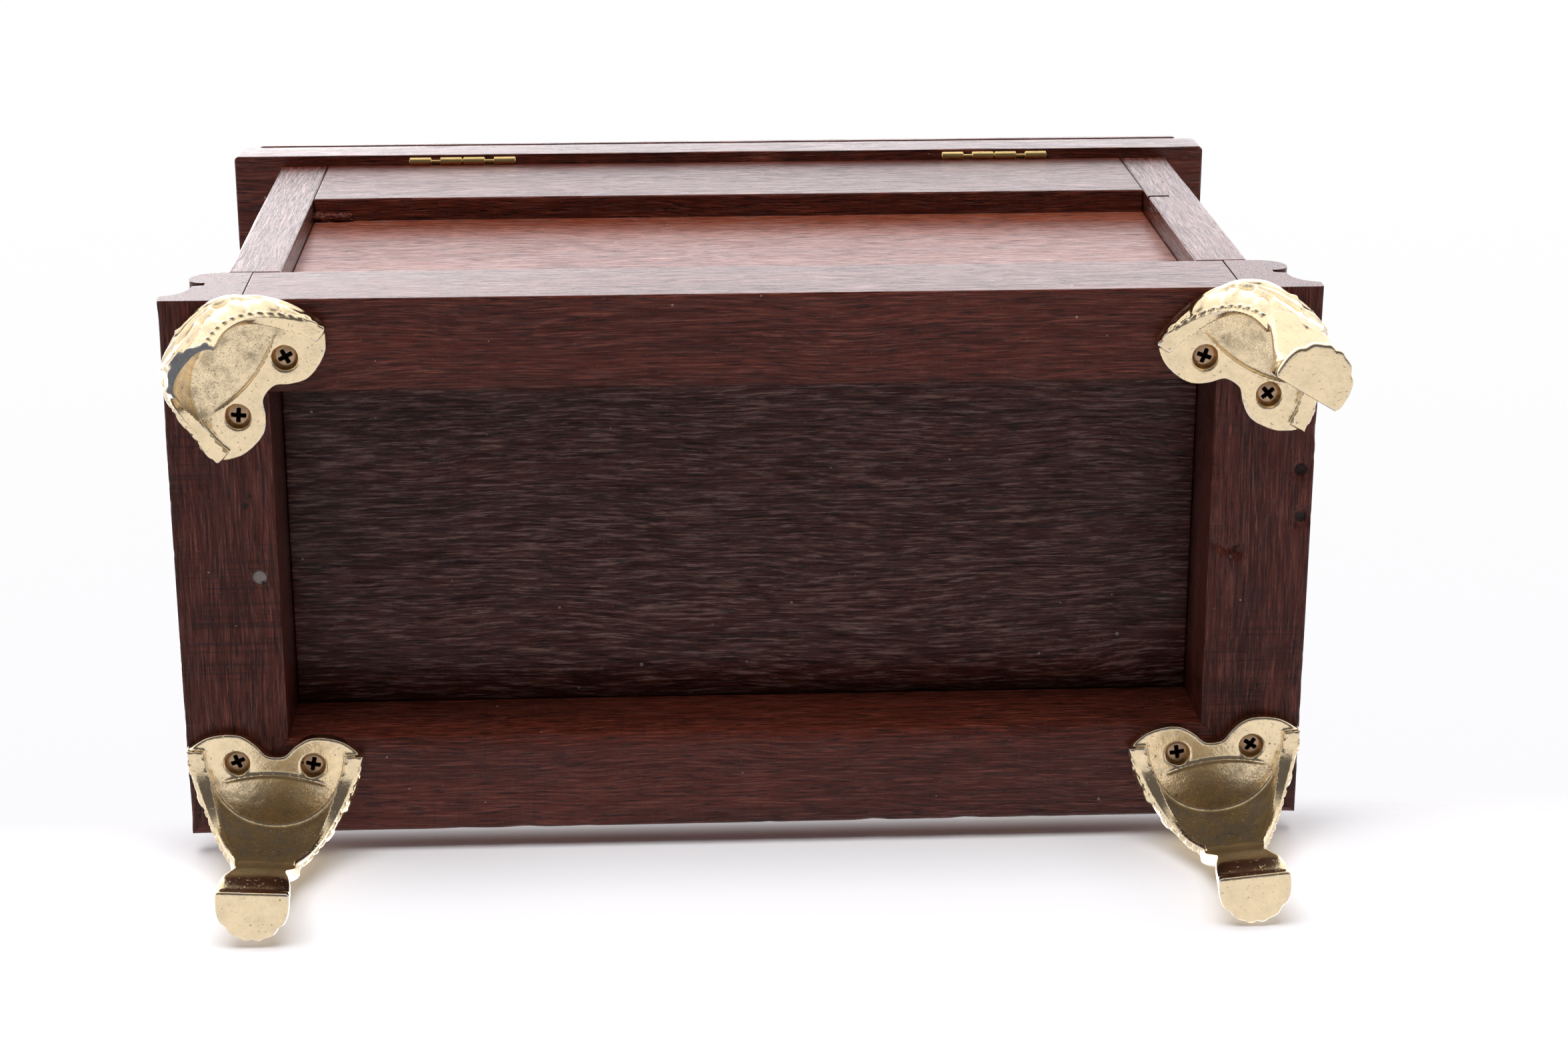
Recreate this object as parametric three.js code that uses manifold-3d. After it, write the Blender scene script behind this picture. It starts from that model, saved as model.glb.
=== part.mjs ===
// Wooden jewellery chest: a moulded plinth on four cast cabriole feet, a panelled case with two
// drawers, and a hinged lid with a mirror over a lined tray. Millimetres, +Z up, drawers face -Y.
import * as THREE from "three";
import { mergeVertices } from "three/addons/utils/BufferGeometryUtils.js";
import Module from "manifold-3d";

const wasm = await Module();
wasm.setup();

// Driving dimensions. Inside the chest, heights count from the plinth's underside.
const PLINTH_HALF_WIDTH = 140;
const PLINTH_HALF_DEPTH = 69.2;
const PLINTH_HEIGHT = 27.4;
const MOULDING_WIDTH = 25.4;
const PLINTH_RAIL_FRONT = 46.3;
const PLINTH_RAIL_HALF_LENGTH = 120.4;
const PLINTH_PANEL_UNDERSIDE = 24;

const CASE_HALF_WIDTH = 126.5;
const CASE_FRONT = -55.7;
const CASE_BACK = PLINTH_HALF_DEPTH;
const CASE_TOP = 152;
const SIDE_THICKNESS = 13.1;
const RAIL_THICKNESS = 10;
const BACK_RAIL_THICKNESS = 12;
const TRAY_RAIL_UNDERSIDE = 108.9;
const BACK_PANEL_RECESS = 6;
const BACK_PANEL_THICKNESS = 4;
const BOARD_THICKNESS = 4;
const LINING_THICKNESS = 2;
const DIVIDER_THICKNESS = 5;

const LID_HALF_WIDTH = 138.8;
const LID_SHIFT = 1.2;
const LID_FRONT = -68.8;
const LID_BACK = 71.8;
const LID_UNDERSIDE = 153.4;
const LID_THICKNESS = 14.2;
const LID_ROUND = 4;
const LID_TOP_INSET = 5.5;
const LID_TOP_THICKNESS = 2.8;
const LID_TOP_ROUND = 1.2;

const HINGE_CENTRES = [75.2, -77];
const HINGE_LENGTH = 30.2;
const KNUCKLE_LENGTH = 6.3;
const KNUCKLE_STARTS = [0, 8.7, 15.2, 23.9];
const KNUCKLE_RADIUS = 1.25;
const HINGE_AXIS_Y = 70;
const HINGE_AXIS_Z = (CASE_TOP + LID_UNDERSIDE) / 2;
const LEAF_THICKNESS = 0.5;
const LEAF_DEPTH = 9.5;
const PIN_RADIUS = 0.55;

const FOOT_HEIGHT = 53.3;
const FOOT_PLATE_THICKNESS = 3.2;
const FOOT_REACH = 32; // a little further than any point of a foot from its screw line
const FOOT_POCKET_FLOOR = -26.8;
const SNAPPED_HEIGHT = -26.2;
const SCREW_SPACING = 18.7;
const SCREW_HEAD_RADIUS = 2.7;
const SCREW_HEAD_THICKNESS = 1.1;
const COUNTERBORE_RADIUS = 3.05;
const COUNTERBORE_DEPTH = 2.5;
const SCREW_HOLE_RADIUS = 1.75;
const SCREW_HOLE_DEPTH = 13;

const PULL_SPREAD = 62;
const POST_SPACING = 26;
const POST_LENGTH = 5;
const POST_RADIUS = 2.3;
const PULL_PLATE_THICKNESS = 1.2;
const BAIL_RADIUS = 0.95;
const BAIL_DROP = 13.5;

const SEAM = 0.1; // hairline left at every glued or laid joint
const DRAWER_GAP = 0.5; // running clearance round a drawer

// Where each foot is screwed on: plan position of its screw line, and the direction its toe points.
const FEET = [
  { name: "front_right", x: 117.87, y: -49.32, turn: -86.8 },
  { name: "front_left", x: -117.91, y: -50.28, turn: -95.5 },
  { name: "rear_left", x: -119.11, y: 47.91, turn: 121.2 },
  { name: "rear_right", x: 115.95, y: 48.43, turn: 39.5, snapped: true },
];

// Materials.
const makeMaterial = (color, roughness, metalness) =>
  new THREE.MeshStandardMaterial({ color, roughness, metalness });
const rosewood = makeMaterial(0x45231c, 0.45, 0);
const panelWood = makeMaterial(0x3a201c, 0.6, 0);
const drawerWood = makeMaterial(0x8a5c3a, 0.6, 0);
const giltZinc = makeMaterial(0xd9bf86, 0.28, 1);
const brass = makeMaterial(0xb08a4a, 0.35, 1);
const velvet = makeMaterial(0x5a1424, 0.95, 0);
const mirrorGlass = makeMaterial(0xd8dee0, 0.05, 1);

// Solids: three.js geometry to and from manifold-3d, for cuts and joins.
function toSolid(geometry) {
  const bare = geometry.index ? geometry.toNonIndexed() : geometry.clone();
  bare.deleteAttribute("normal");
  bare.deleteAttribute("uv");
  const merged = mergeVertices(bare, 1e-4);
  const mesh = new wasm.Mesh({
    numProp: 3,
    vertProperties: merged.attributes.position.array,
    triVerts: new Uint32Array(merged.index.array),
  });
  return new wasm.Manifold(mesh);
}

function toGeometry(solid) {
  const mesh = solid.getMesh();
  const geometry = new THREE.BufferGeometry();
  geometry.setAttribute("position", new THREE.BufferAttribute(mesh.vertProperties, 3));
  geometry.setIndex(new THREE.BufferAttribute(mesh.triVerts, 1));
  geometry.computeVertexNormals();
  return geometry;
}

// A box between two corners.
function boxGeometry(low, high) {
  const size = high.map((value, i) => value - low[i]);
  const middle = high.map((value, i) => (value + low[i]) / 2);
  return new THREE.BoxGeometry(...size).translate(...middle);
}

const boxSolid = (low, high) => toSolid(boxGeometry(low, high));

// A plan outline raised between two heights.
function prismGeometry(shape, bottom, top, curveSegments = 6) {
  const options = { depth: top - bottom, bevelEnabled: false, curveSegments };
  return new THREE.ExtrudeGeometry(shape, options).translate(0, 0, bottom);
}

// An outline drawn in X and Z, carried along Y between two places.
function sideExtrusion(shape, near, far, curveSegments = 6) {
  return prismGeometry(shape, -far, -near, curveSegments).rotateX(Math.PI / 2);
}

// An outline drawn in Y and Z, carried along X between two places.
function frontExtrusion(shape, near, far) {
  return sideExtrusion(shape, -far, -near).rotateZ(Math.PI / 2);
}

// An upright rod, its middle at a plan position.
function rodSolid(radius, bottom, top, x, y, sides = 16) {
  const rod = new THREE.CylinderGeometry(radius, radius, top - bottom, sides);
  return toSolid(rod.rotateX(Math.PI / 2).translate(x, y, (top + bottom) / 2));
}

// A rod lying along X.
function axleGeometry(radius, length, x, y, z, sides = 16) {
  const rod = new THREE.CylinderGeometry(radius, radius, length, sides);
  return rod.rotateZ(Math.PI / 2).translate(x, y, z);
}

const polygon = (points) => new THREE.Shape(points.map(([x, y]) => new THREE.Vector2(x, y)));
// Points along a smooth curve through the given ones.
const smooth = (points, steps) =>
  new THREE.SplineCurve(points.map(([x, y]) => new THREE.Vector2(x, y))).getPoints(steps);

// A closed outline from one half of it, given as points [along, half width], mirrored in its length.
function mirroredOutline(half) {
  const other = half.map((point) => new THREE.Vector2(point.x, -point.y)).reverse();
  const whole = [...half, ...other];
  return new THREE.Shape(whole.filter((point, i) => !point.equals(whole[(i + 1) % whole.length])));
}

// The same outline with its length turned from x to y.
const upright = (outline) =>
  new THREE.Shape(outline.getPoints().map((point) => new THREE.Vector2(point.y, point.x)));

const chest = new THREE.Group();

function addPiece(name, geometry, material, parent = chest) {
  const piece = new THREE.Mesh(geometry, material.clone());
  piece.name = name;
  parent.add(piece);
  return piece;
}

// Plinth.

// Section of the plinth moulding: x = 0 at its outer face, square band, cove, quirk and bead.
function mouldingSection() {
  const section = new THREE.Shape();
  section.moveTo(-MOULDING_WIDTH, 0);
  section.lineTo(0, 0);
  section.lineTo(0, 4.6);
  section.quadraticCurveTo(-5.8, 6.2, -6.5, 13);
  section.lineTo(-6.5, 14.2);
  section.lineTo(-9.4, 14.8);
  section.lineTo(-9.4, 17.2);
  section.bezierCurveTo(-4.2, 16.8, -3.8, 23, -6.8, 25.4);
  section.quadraticCurveTo(-9, 27.4, -13.3, PLINTH_HEIGHT);
  section.lineTo(-MOULDING_WIDTH, PLINTH_HEIGHT);
  section.closePath();
  return section;
}

// The moulding's full run along one face, before its ends are cut. outer is the face's distance.
function mouldingRun(outer, turn) {
  const run = sideExtrusion(mouldingSection(), -PLINTH_HALF_WIDTH, PLINTH_HALF_WIDTH);
  return toSolid(run.translate(outer, 0, 0).rotateZ(turn));
}

function addPlinth() {
  const width = PLINTH_HALF_WIDTH;
  const depth = PLINTH_HALF_DEPTH;
  const inner = width - MOULDING_WIDTH;
  const innerFront = -depth + MOULDING_WIDTH;

  const frontPlan = polygon([
    [-width + SEAM, -depth],
    [width - SEAM, -depth],
    [inner - SEAM, innerFront],
    [-inner + SEAM, innerFront],
  ]);
  const frontMoulding = mouldingRun(depth, -Math.PI / 2).intersect(
    toSolid(prismGeometry(frontPlan, 0, PLINTH_HEIGHT)),
  );
  addPiece("plinth_front", toGeometry(drillForFeet(frontMoulding)), rosewood);

  for (const [side, sign] of [["right", 1], ["left", -1]]) {
    const sidePlan = polygon(
      [
        [width, -depth],
        [width, depth],
        [PLINTH_RAIL_HALF_LENGTH + SEAM, depth],
        [PLINTH_RAIL_HALF_LENGTH + SEAM, PLINTH_RAIL_FRONT - SEAM],
        [inner, PLINTH_RAIL_FRONT - SEAM],
        [inner, innerFront],
      ].map(([x, y]) => [sign * x, y]),
    );
    const sideMoulding = mouldingRun(width, sign > 0 ? 0 : Math.PI).intersect(
      toSolid(prismGeometry(sidePlan, 0, PLINTH_HEIGHT)),
    );
    addPiece(`plinth_${side}`, toGeometry(drillForFeet(sideMoulding)), rosewood);
  }

  const railHalf = PLINTH_RAIL_HALF_LENGTH;
  const backRail = boxSolid([-railHalf, PLINTH_RAIL_FRONT, 0], [railHalf, depth, PLINTH_HEIGHT]);
  addPiece("plinth_back", toGeometry(drillForFeet(backRail)), rosewood);

  const panelHalf = inner - SEAM;
  const panel = boxGeometry(
    [-panelHalf, innerFront + SEAM, PLINTH_PANEL_UNDERSIDE],
    [panelHalf, PLINTH_RAIL_FRONT - SEAM, PLINTH_HEIGHT - SEAM],
  );
  addPiece("bottom_panel", panel, panelWood);
}

// Plan positions of a foot's two screws.
function screwPlaces(foot) {
  const turn = THREE.MathUtils.degToRad(foot.turn);
  return [-0.5, 0.5].map((half) => [
    foot.x - half * SCREW_SPACING * Math.sin(turn),
    foot.y + half * SCREW_SPACING * Math.cos(turn),
  ]);
}

// Pilot holes for the foot screws in a plinth piece.
function drillForFeet(solid) {
  let drilled = solid;
  for (const [x, y] of FEET.flatMap(screwPlaces)) {
    drilled = drilled.subtract(rodSolid(SCREW_HOLE_RADIUS, -1, SCREW_HOLE_DEPTH, x, y, 8));
  }
  return drilled;
}

// Feet.

// The casting's outer body: a knee that bulges outwards, a slim ankle and the heel of the toe.
// Outlines give x = outwards from the screw line, y = half width, z = height under the plinth.
function legSolid() {
  const kneeLine = [
    [22.4, 0],
    [24.2, -4],
    [24.2, -10],
    [21.4, -27],
    [15.6, -39],
    [14.3, -45],
    [17.2, -50.6],
  ];
  const heelLine = [
    [11.4, -FOOT_HEIGHT],
    [10.5, -46],
    [13.4, -34],
    [16.2, -27],
  ];
  const wingLine = [
    [16.1, -20.3],
    [13.9, -13.1],
    [9.5, -7.1],
    [3.5, -2.6],
    [-3.3, -1.2],
  ];
  const foreToe = new THREE.Vector2(17.2, -FOOT_HEIGHT);
  const plateEnd = new THREE.Vector2(-3.3, 0);
  const side = new THREE.Shape([
    ...smooth(kneeLine, 15),
    foreToe,
    ...smooth(heelLine, 6),
    ...smooth(wingLine, 7),
    plateEnd,
  ]);
  const halfWidths = [
    [0, 21.9],
    [-2.6, 19.6],
    [-7.1, 16.8],
    [-13.1, 13.8],
    [-20.3, 10.5],
    [-27, 7.8],
    [-38, 6.5],
    [-47, 8.2],
    [-FOOT_HEIGHT, 8.6],
  ];
  const front = upright(mirroredOutline(smooth(halfWidths, 14)));
  const plan = mirroredOutline(kneeHalf());
  return toSolid(sideExtrusion(side, -FOOT_REACH, FOOT_REACH))
    .intersect(toSolid(frontExtrusion(front, -FOOT_REACH, FOOT_REACH)))
    .intersect(toSolid(prismGeometry(plan, -FOOT_HEIGHT, 0)));
}

// Half the plan of the knee, from the wing tip round to the middle of its front.
function kneeHalf() {
  const points = [
    [-2.5, 21.8],
    [3.5, 20.2],
    [9, 18.9],
    [13.3, 17.5],
    [18.8, 14.3],
    [21.7, 10.7],
    [23.8, 6],
    [24.3, 0],
  ];
  return smooth(points, 12);
}

// Mounting plate: the knee's plan with two rounded lobes and a notch between them at the back.
function plateSolid() {
  const lobe = [
    [-1.9, 0],
    [-2.6, 2.4],
    [-5.2, 4.9],
    [-7.2, 8.2],
    [-7.7, 12],
    [-6.6, 16.4],
    [-2.5, 21.8],
  ];
  const plan = mirroredOutline([...smooth(lobe, 14), ...kneeHalf().slice(1)]);
  return toSolid(prismGeometry(plan, -FOOT_PLATE_THICKNESS, 0));
}

// The scoop that hollows the leg from behind, between the wings and above the ankle.
function pocketSolid() {
  const ceiling = -FOOT_PLATE_THICKNESS;
  const floor = FOOT_POCKET_FLOOR;
  const innerWall = [
    [16.4, ceiling],
    [18.2, -12],
    [18.7, -20],
    [18.7, floor],
  ];
  const behind = [ceiling, floor].map((height) => new THREE.Vector2(-FOOT_REACH, height));
  const side = new THREE.Shape([behind[0], ...smooth(innerWall, 6), behind[1]]);
  const halfWidths = [
    [ceiling, 15.4],
    [-9.9, 12.3],
    [-16.8, 9.6],
    [floor, 5.8],
  ];
  const front = upright(mirroredOutline(smooth(halfWidths, 6)));
  const halfPlan = [
    [-20, 17],
    [3, 16],
    [12, 11.6],
    [17.4, 5.6],
    [18.9, 0],
  ];
  const plan = mirroredOutline(smooth(halfPlan, 10));
  return toSolid(sideExtrusion(side, -FOOT_REACH, FOOT_REACH))
    .intersect(toSolid(frontExtrusion(front, -FOOT_REACH, FOOT_REACH)))
    .intersect(toSolid(prismGeometry(plan, floor, ceiling)));
}

// Toe pad with a scalloped front edge.
function toeSolid() {
  const outline = new THREE.Shape();
  outline.moveTo(11.4, -8.6);
  outline.bezierCurveTo(16, -9.3, 19.4, -8.4, 20.9, -6);
  outline.quadraticCurveTo(24.9, -4.8, 23.6, 0);
  outline.quadraticCurveTo(24.9, 4.8, 20.9, 6);
  outline.bezierCurveTo(19.4, 8.4, 16, 9.3, 11.4, 8.6);
  outline.closePath();
  return toSolid(prismGeometry(outline, -FOOT_HEIGHT, -FOOT_HEIGHT + 2.7, 5));
}

function footGeometry(snapped) {
  let foot = legSolid().subtract(pocketSolid()).add(plateSolid());
  if (snapped) {
    const lost = [-FOOT_REACH, -FOOT_REACH, -FOOT_HEIGHT - 1];
    foot = foot.subtract(boxSolid(lost, [FOOT_REACH, FOOT_REACH, SNAPPED_HEIGHT]));
  } else {
    foot = foot.add(toeSolid());
  }
  for (const y of [-SCREW_SPACING / 2, SCREW_SPACING / 2]) {
    const hole = rodSolid(SCREW_HOLE_RADIUS, -FOOT_HEIGHT, 1, 0, y, 12);
    const mouth = COUNTERBORE_DEPTH - FOOT_PLATE_THICKNESS;
    foot = foot.subtract(hole).subtract(rodSolid(COUNTERBORE_RADIUS, -FOOT_HEIGHT, mouth, 0, y, 20));
  }
  return toGeometry(foot);
}

// Cross-head screw pointing up, the bearing face of its head at z = 0.
function screwGeometry() {
  const profile = [
    [0, -SCREW_HEAD_THICKNESS],
    [SCREW_HEAD_RADIUS - 0.3, -SCREW_HEAD_THICKNESS],
    [SCREW_HEAD_RADIUS, -SCREW_HEAD_THICKNESS + 0.3],
    [SCREW_HEAD_RADIUS, 0],
    [1.4, 0],
    [1.4, 8.6],
    [0.5, 10],
    [0, 11],
  ];
  const turned = new THREE.LatheGeometry(profile.map(([r, h]) => new THREE.Vector2(r, h)), 14);
  let screw = toSolid(turned.rotateX(Math.PI / 2));
  for (const [x, y] of [[1.5, 0.38], [0.38, 1.5]]) {
    screw = screw.subtract(boxSolid([-x, -y, -2], [x, y, -0.3]));
  }
  return toGeometry(screw);
}

function addFeet() {
  const screw = screwGeometry();
  for (const foot of FEET) {
    const corner = new THREE.Group();
    corner.position.set(foot.x, foot.y, -SEAM);
    corner.rotation.z = THREE.MathUtils.degToRad(foot.turn);
    chest.add(corner);
    addPiece(`foot_${foot.name}`, footGeometry(foot.snapped), giltZinc, corner);
    ["a", "b"].forEach((letter, i) => {
      const fastener = addPiece(`foot_screw_${foot.name}_${letter}`, screw, brass, corner);
      fastener.position.set(0, (i - 0.5) * SCREW_SPACING, COUNTERBORE_DEPTH - FOOT_PLATE_THICKNESS - SEAM);
      fastener.rotation.z = 0.3 + 0.5 * i + 0.7 * FEET.indexOf(foot);
    });
  }
}

// Case.

function addCase() {
  const base = PLINTH_HEIGHT + SEAM;
  const inside = CASE_HALF_WIDTH - SIDE_THICKNESS;
  const between = inside - SEAM;

  const rightSide = boxGeometry([inside, CASE_FRONT, base], [CASE_HALF_WIDTH, CASE_BACK, CASE_TOP]);
  addPiece("case_side_right", rightSide, rosewood);
  // The left side's rear edge has a stray saw kerf just under the back rail.
  const kerf = boxSolid([-119.1, CASE_BACK - 3, 100.2], [-inside + 1, CASE_BACK + 1, 101.8]);
  const leftSide = boxSolid([-CASE_HALF_WIDTH, CASE_FRONT, base], [-inside, CASE_BACK, CASE_TOP]);
  addPiece("case_side_left", toGeometry(leftSide.subtract(kerf)), rosewood);

  const frontRail = boxGeometry(
    [-between, CASE_FRONT, TRAY_RAIL_UNDERSIDE],
    [between, CASE_FRONT + RAIL_THICKNESS, CASE_TOP],
  );
  addPiece("case_front_rail", frontRail, rosewood);

  let backRail = boxSolid(
    [-between, CASE_BACK - BACK_RAIL_THICKNESS, TRAY_RAIL_UNDERSIDE],
    [between, CASE_BACK, CASE_TOP],
  );
  backRail = cutForHinges(backRail);
  addPiece("case_back_rail", toGeometry(backRail), rosewood);

  const panelFace = CASE_BACK - BACK_PANEL_RECESS;
  const backPanel = boxGeometry(
    [-between, panelFace - BACK_PANEL_THICKNESS, base],
    [between, panelFace, TRAY_RAIL_UNDERSIDE - SEAM],
  );
  addPiece("case_back_panel", backPanel, rosewood);

  const boardBack = panelFace - BACK_PANEL_THICKNESS - SEAM;
  const dividerBottom = drawerBase(1) - DIVIDER_THICKNESS;
  const divider = boxGeometry(
    [-between, CASE_FRONT, dividerBottom],
    [between, boardBack, dividerBottom + DIVIDER_THICKNESS],
  );
  addPiece("drawer_divider", divider, rosewood);

  const trayFloor = boxGeometry(
    [-between, CASE_FRONT + RAIL_THICKNESS + SEAM, TRAY_RAIL_UNDERSIDE],
    [between, CASE_BACK - BACK_RAIL_THICKNESS - SEAM, TRAY_RAIL_UNDERSIDE + BOARD_THICKNESS],
  );
  addPiece("tray_floor", trayFloor, drawerWood);
}

// Room for the hinge barrels in a neighbouring edge.
function cutForHinges(solid) {
  let cut = solid;
  for (const x of HINGE_CENTRES) {
    cut = cut.subtract(toSolid(hingeRod(KNUCKLE_RADIUS + 0.35, HINGE_LENGTH + 1, x)));
  }
  return cut;
}

// Lined tray under the lid, with a padded ring holder along its front.
function addTray() {
  const floor = TRAY_RAIL_UNDERSIDE + BOARD_THICKNESS + SEAM;
  const inside = CASE_HALF_WIDTH - SIDE_THICKNESS;
  const trayFront = CASE_FRONT + RAIL_THICKNESS;
  const trayBack = CASE_BACK - BACK_RAIL_THICKNESS;
  const partitionFront = -13.4;
  const partitionBack = -9.9;

  const partition = boxGeometry(
    [-inside + 0.3, partitionFront, floor],
    [inside - 0.3, partitionBack, floor + 22],
  );
  addPiece("tray_partition", partition, velvet);

  const lining = boxGeometry(
    [-inside + 0.6, partitionBack + 0.3, floor],
    [inside - 0.6, trayBack - 0.6, floor + LINING_THICKNESS],
  );
  addPiece("tray_lining", lining, velvet);

  const rollCount = 3;
  const front = trayFront + 0.5;
  const pitch = (partitionFront - 0.4 - front) / rollCount;
  const section = new THREE.Shape();
  section.moveTo(front + rollCount * pitch, floor);
  section.lineTo(front + rollCount * pitch, floor + 10);
  for (let roll = rollCount - 1; roll >= 0; roll--) {
    section.absarc(front + (roll + 0.5) * pitch, floor + 10, pitch / 2, 0, Math.PI, false);
  }
  section.lineTo(front, floor);
  section.closePath();
  addPiece("ring_cushion", frontExtrusion(section, -inside + 0.8, inside - 0.8), velvet);
}

// Drawers.
const DRAWER_OPENING = (TRAY_RAIL_UNDERSIDE - PLINTH_HEIGHT - DIVIDER_THICKNESS) / 2;

const drawerBase = (level) => PLINTH_HEIGHT + level * (DRAWER_OPENING + DIVIDER_THICKNESS);

function addDrawer(name, level) {
  const bottom = drawerBase(level) + DRAWER_GAP;
  const top = drawerBase(level) + DRAWER_OPENING - DRAWER_GAP;
  const half = CASE_HALF_WIDTH - SIDE_THICKNESS - DRAWER_GAP;
  const frontBack = CASE_FRONT + RAIL_THICKNESS;
  const boxFront = frontBack + SEAM;
  const boxBack = 53;
  const sideThickness = 6;
  const backThickness = 5;
  const wallTop = top - 5;
  const innerHalf = half - sideThickness - SEAM;
  const floorBottom = bottom + 1.5;
  const floorTop = floorBottom + 3;
  const backFront = boxBack - backThickness;

  addPiece(`${name}_front`, boxGeometry([-half, CASE_FRONT, bottom], [half, frontBack, top]), rosewood);
  for (const [side, sign] of [["right", 1], ["left", -1]]) {
    const edges = [sign * (half - sideThickness), sign * half].sort((a, b) => a - b);
    const wall = boxGeometry([edges[0], boxFront, bottom], [edges[1], boxBack, wallTop]);
    addPiece(`${name}_side_${side}`, wall, drawerWood);
  }
  const back = boxGeometry([-innerHalf, backFront, floorBottom], [innerHalf, boxBack, wallTop]);
  addPiece(`${name}_back`, back, drawerWood);
  const floor = boxGeometry([-innerHalf, boxFront, floorBottom], [innerHalf, backFront - SEAM, floorTop]);
  addPiece(`${name}_bottom`, floor, drawerWood);
  const lining = boxGeometry(
    [-innerHalf + 0.3, boxFront + 0.3, floorTop + SEAM],
    [innerHalf - 0.3, backFront - 0.4, floorTop + SEAM + LINING_THICKNESS],
  );
  addPiece(`${name}_lining`, lining, velvet);

  const plateGeometry = pullPlateGeometry();
  const bail = bailGeometry();
  for (const [side, sign] of [["right", 1], ["left", -1]]) {
    const pull = new THREE.Group();
    pull.position.set(sign * PULL_SPREAD, CASE_FRONT - SEAM, (bottom + top) / 2 + 3);
    chest.add(pull);
    addPiece(`${name}_pull_plate_${side}`, plateGeometry, brass, pull);
    addPiece(`${name}_pull_bail_${side}`, bail, brass, pull);
  }
}

// Back plate of a drawer pull, with the two drilled posts that carry the bail. y = 0 at its back.
function pullPlateGeometry() {
  const outline = new THREE.Shape();
  outline.moveTo(0, -9);
  outline.quadraticCurveTo(4, -5.5, 9, -6.5);
  outline.quadraticCurveTo(14, -8.5, 17.5, -4);
  outline.quadraticCurveTo(20.5, -1.5, 22.5, 0);
  outline.quadraticCurveTo(20.5, 1.5, 17.5, 4);
  outline.quadraticCurveTo(14, 8.5, 9, 6);
  outline.quadraticCurveTo(4, 5.5, 0, 8.5);
  const right = outline.getPoints(4);
  const left = right.slice(1, -1).map((point) => new THREE.Vector2(-point.x, point.y));
  const whole = new THREE.Shape([...right, ...left.reverse()]);
  let plate = toSolid(sideExtrusion(whole, -PULL_PLATE_THICKNESS, 0));
  for (const x of [-POST_SPACING / 2, POST_SPACING / 2]) {
    const post = new THREE.CylinderGeometry(POST_RADIUS, POST_RADIUS, POST_LENGTH, 12);
    const postMiddle = -PULL_PLATE_THICKNESS - POST_LENGTH / 2 + 0.2;
    plate = plate.add(toSolid(post.translate(x, postMiddle, 0)));
  }
  const bore = axleGeometry(BAIL_RADIUS + 0.3, POST_SPACING + 12, 0, bailAxis(), 0, 10);
  return toGeometry(plate.subtract(toSolid(bore)));
}

const bailAxis = () => -PULL_PLATE_THICKNESS - POST_LENGTH + POST_RADIUS;

// Swinging bail: a bent wire whose two ends lie in the posts' bores, hanging down.
function bailGeometry() {
  const end = POST_SPACING / 2 - 1.9;
  const half = [
    [end, 0],
    [end + 4.6, 0],
    [end + 6.3, -1.6],
    [end + 5.9, -5.6],
    [end + 1.4, -10.6],
    [0, -BAIL_DROP],
  ];
  const points = [...half, ...half.slice(0, -1).reverse().map(([x, z]) => [-x, z])];
  const path = new THREE.CatmullRomCurve3(points.map(([x, z]) => new THREE.Vector3(x, bailAxis(), z)));
  const wire = new THREE.Shape().absarc(0, 0, BAIL_RADIUS, 0, 2 * Math.PI, false);
  const options = { extrudePath: path, steps: 36, curveSegments: 4, bevelEnabled: false };
  return new THREE.ExtrudeGeometry(wire, options);
}

// Lid.

// A board whose upper edge is rounded at the front and both ends, and square at the back: a bevelled
// slab that reaches further back, trimmed flat behind and at its underside.
function roundedBoard(low, high, round) {
  const outline = polygon([
    [low[0] + round, low[1] + round],
    [high[0] - round, low[1] + round],
    [high[0] - round, high[1]],
    [low[0] + round, high[1]],
  ]);
  const options = { depth: high[2] - low[2], bevelThickness: round, bevelSize: round, bevelSegments: 4 };
  const slab = new THREE.ExtrudeGeometry(outline, options).translate(0, 0, low[2] - round);
  const reach = 3 * round;
  const below = boxSolid(
    [low[0] - reach, low[1] - reach, low[2] - reach],
    [high[0] + reach, high[1] + reach, low[2]],
  );
  const behind = boxSolid(
    [low[0] - reach, high[1], low[2] - reach],
    [high[0] + reach, high[1] + reach, high[2] + reach],
  );
  return toSolid(slab).subtract(below).subtract(behind);
}

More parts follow.
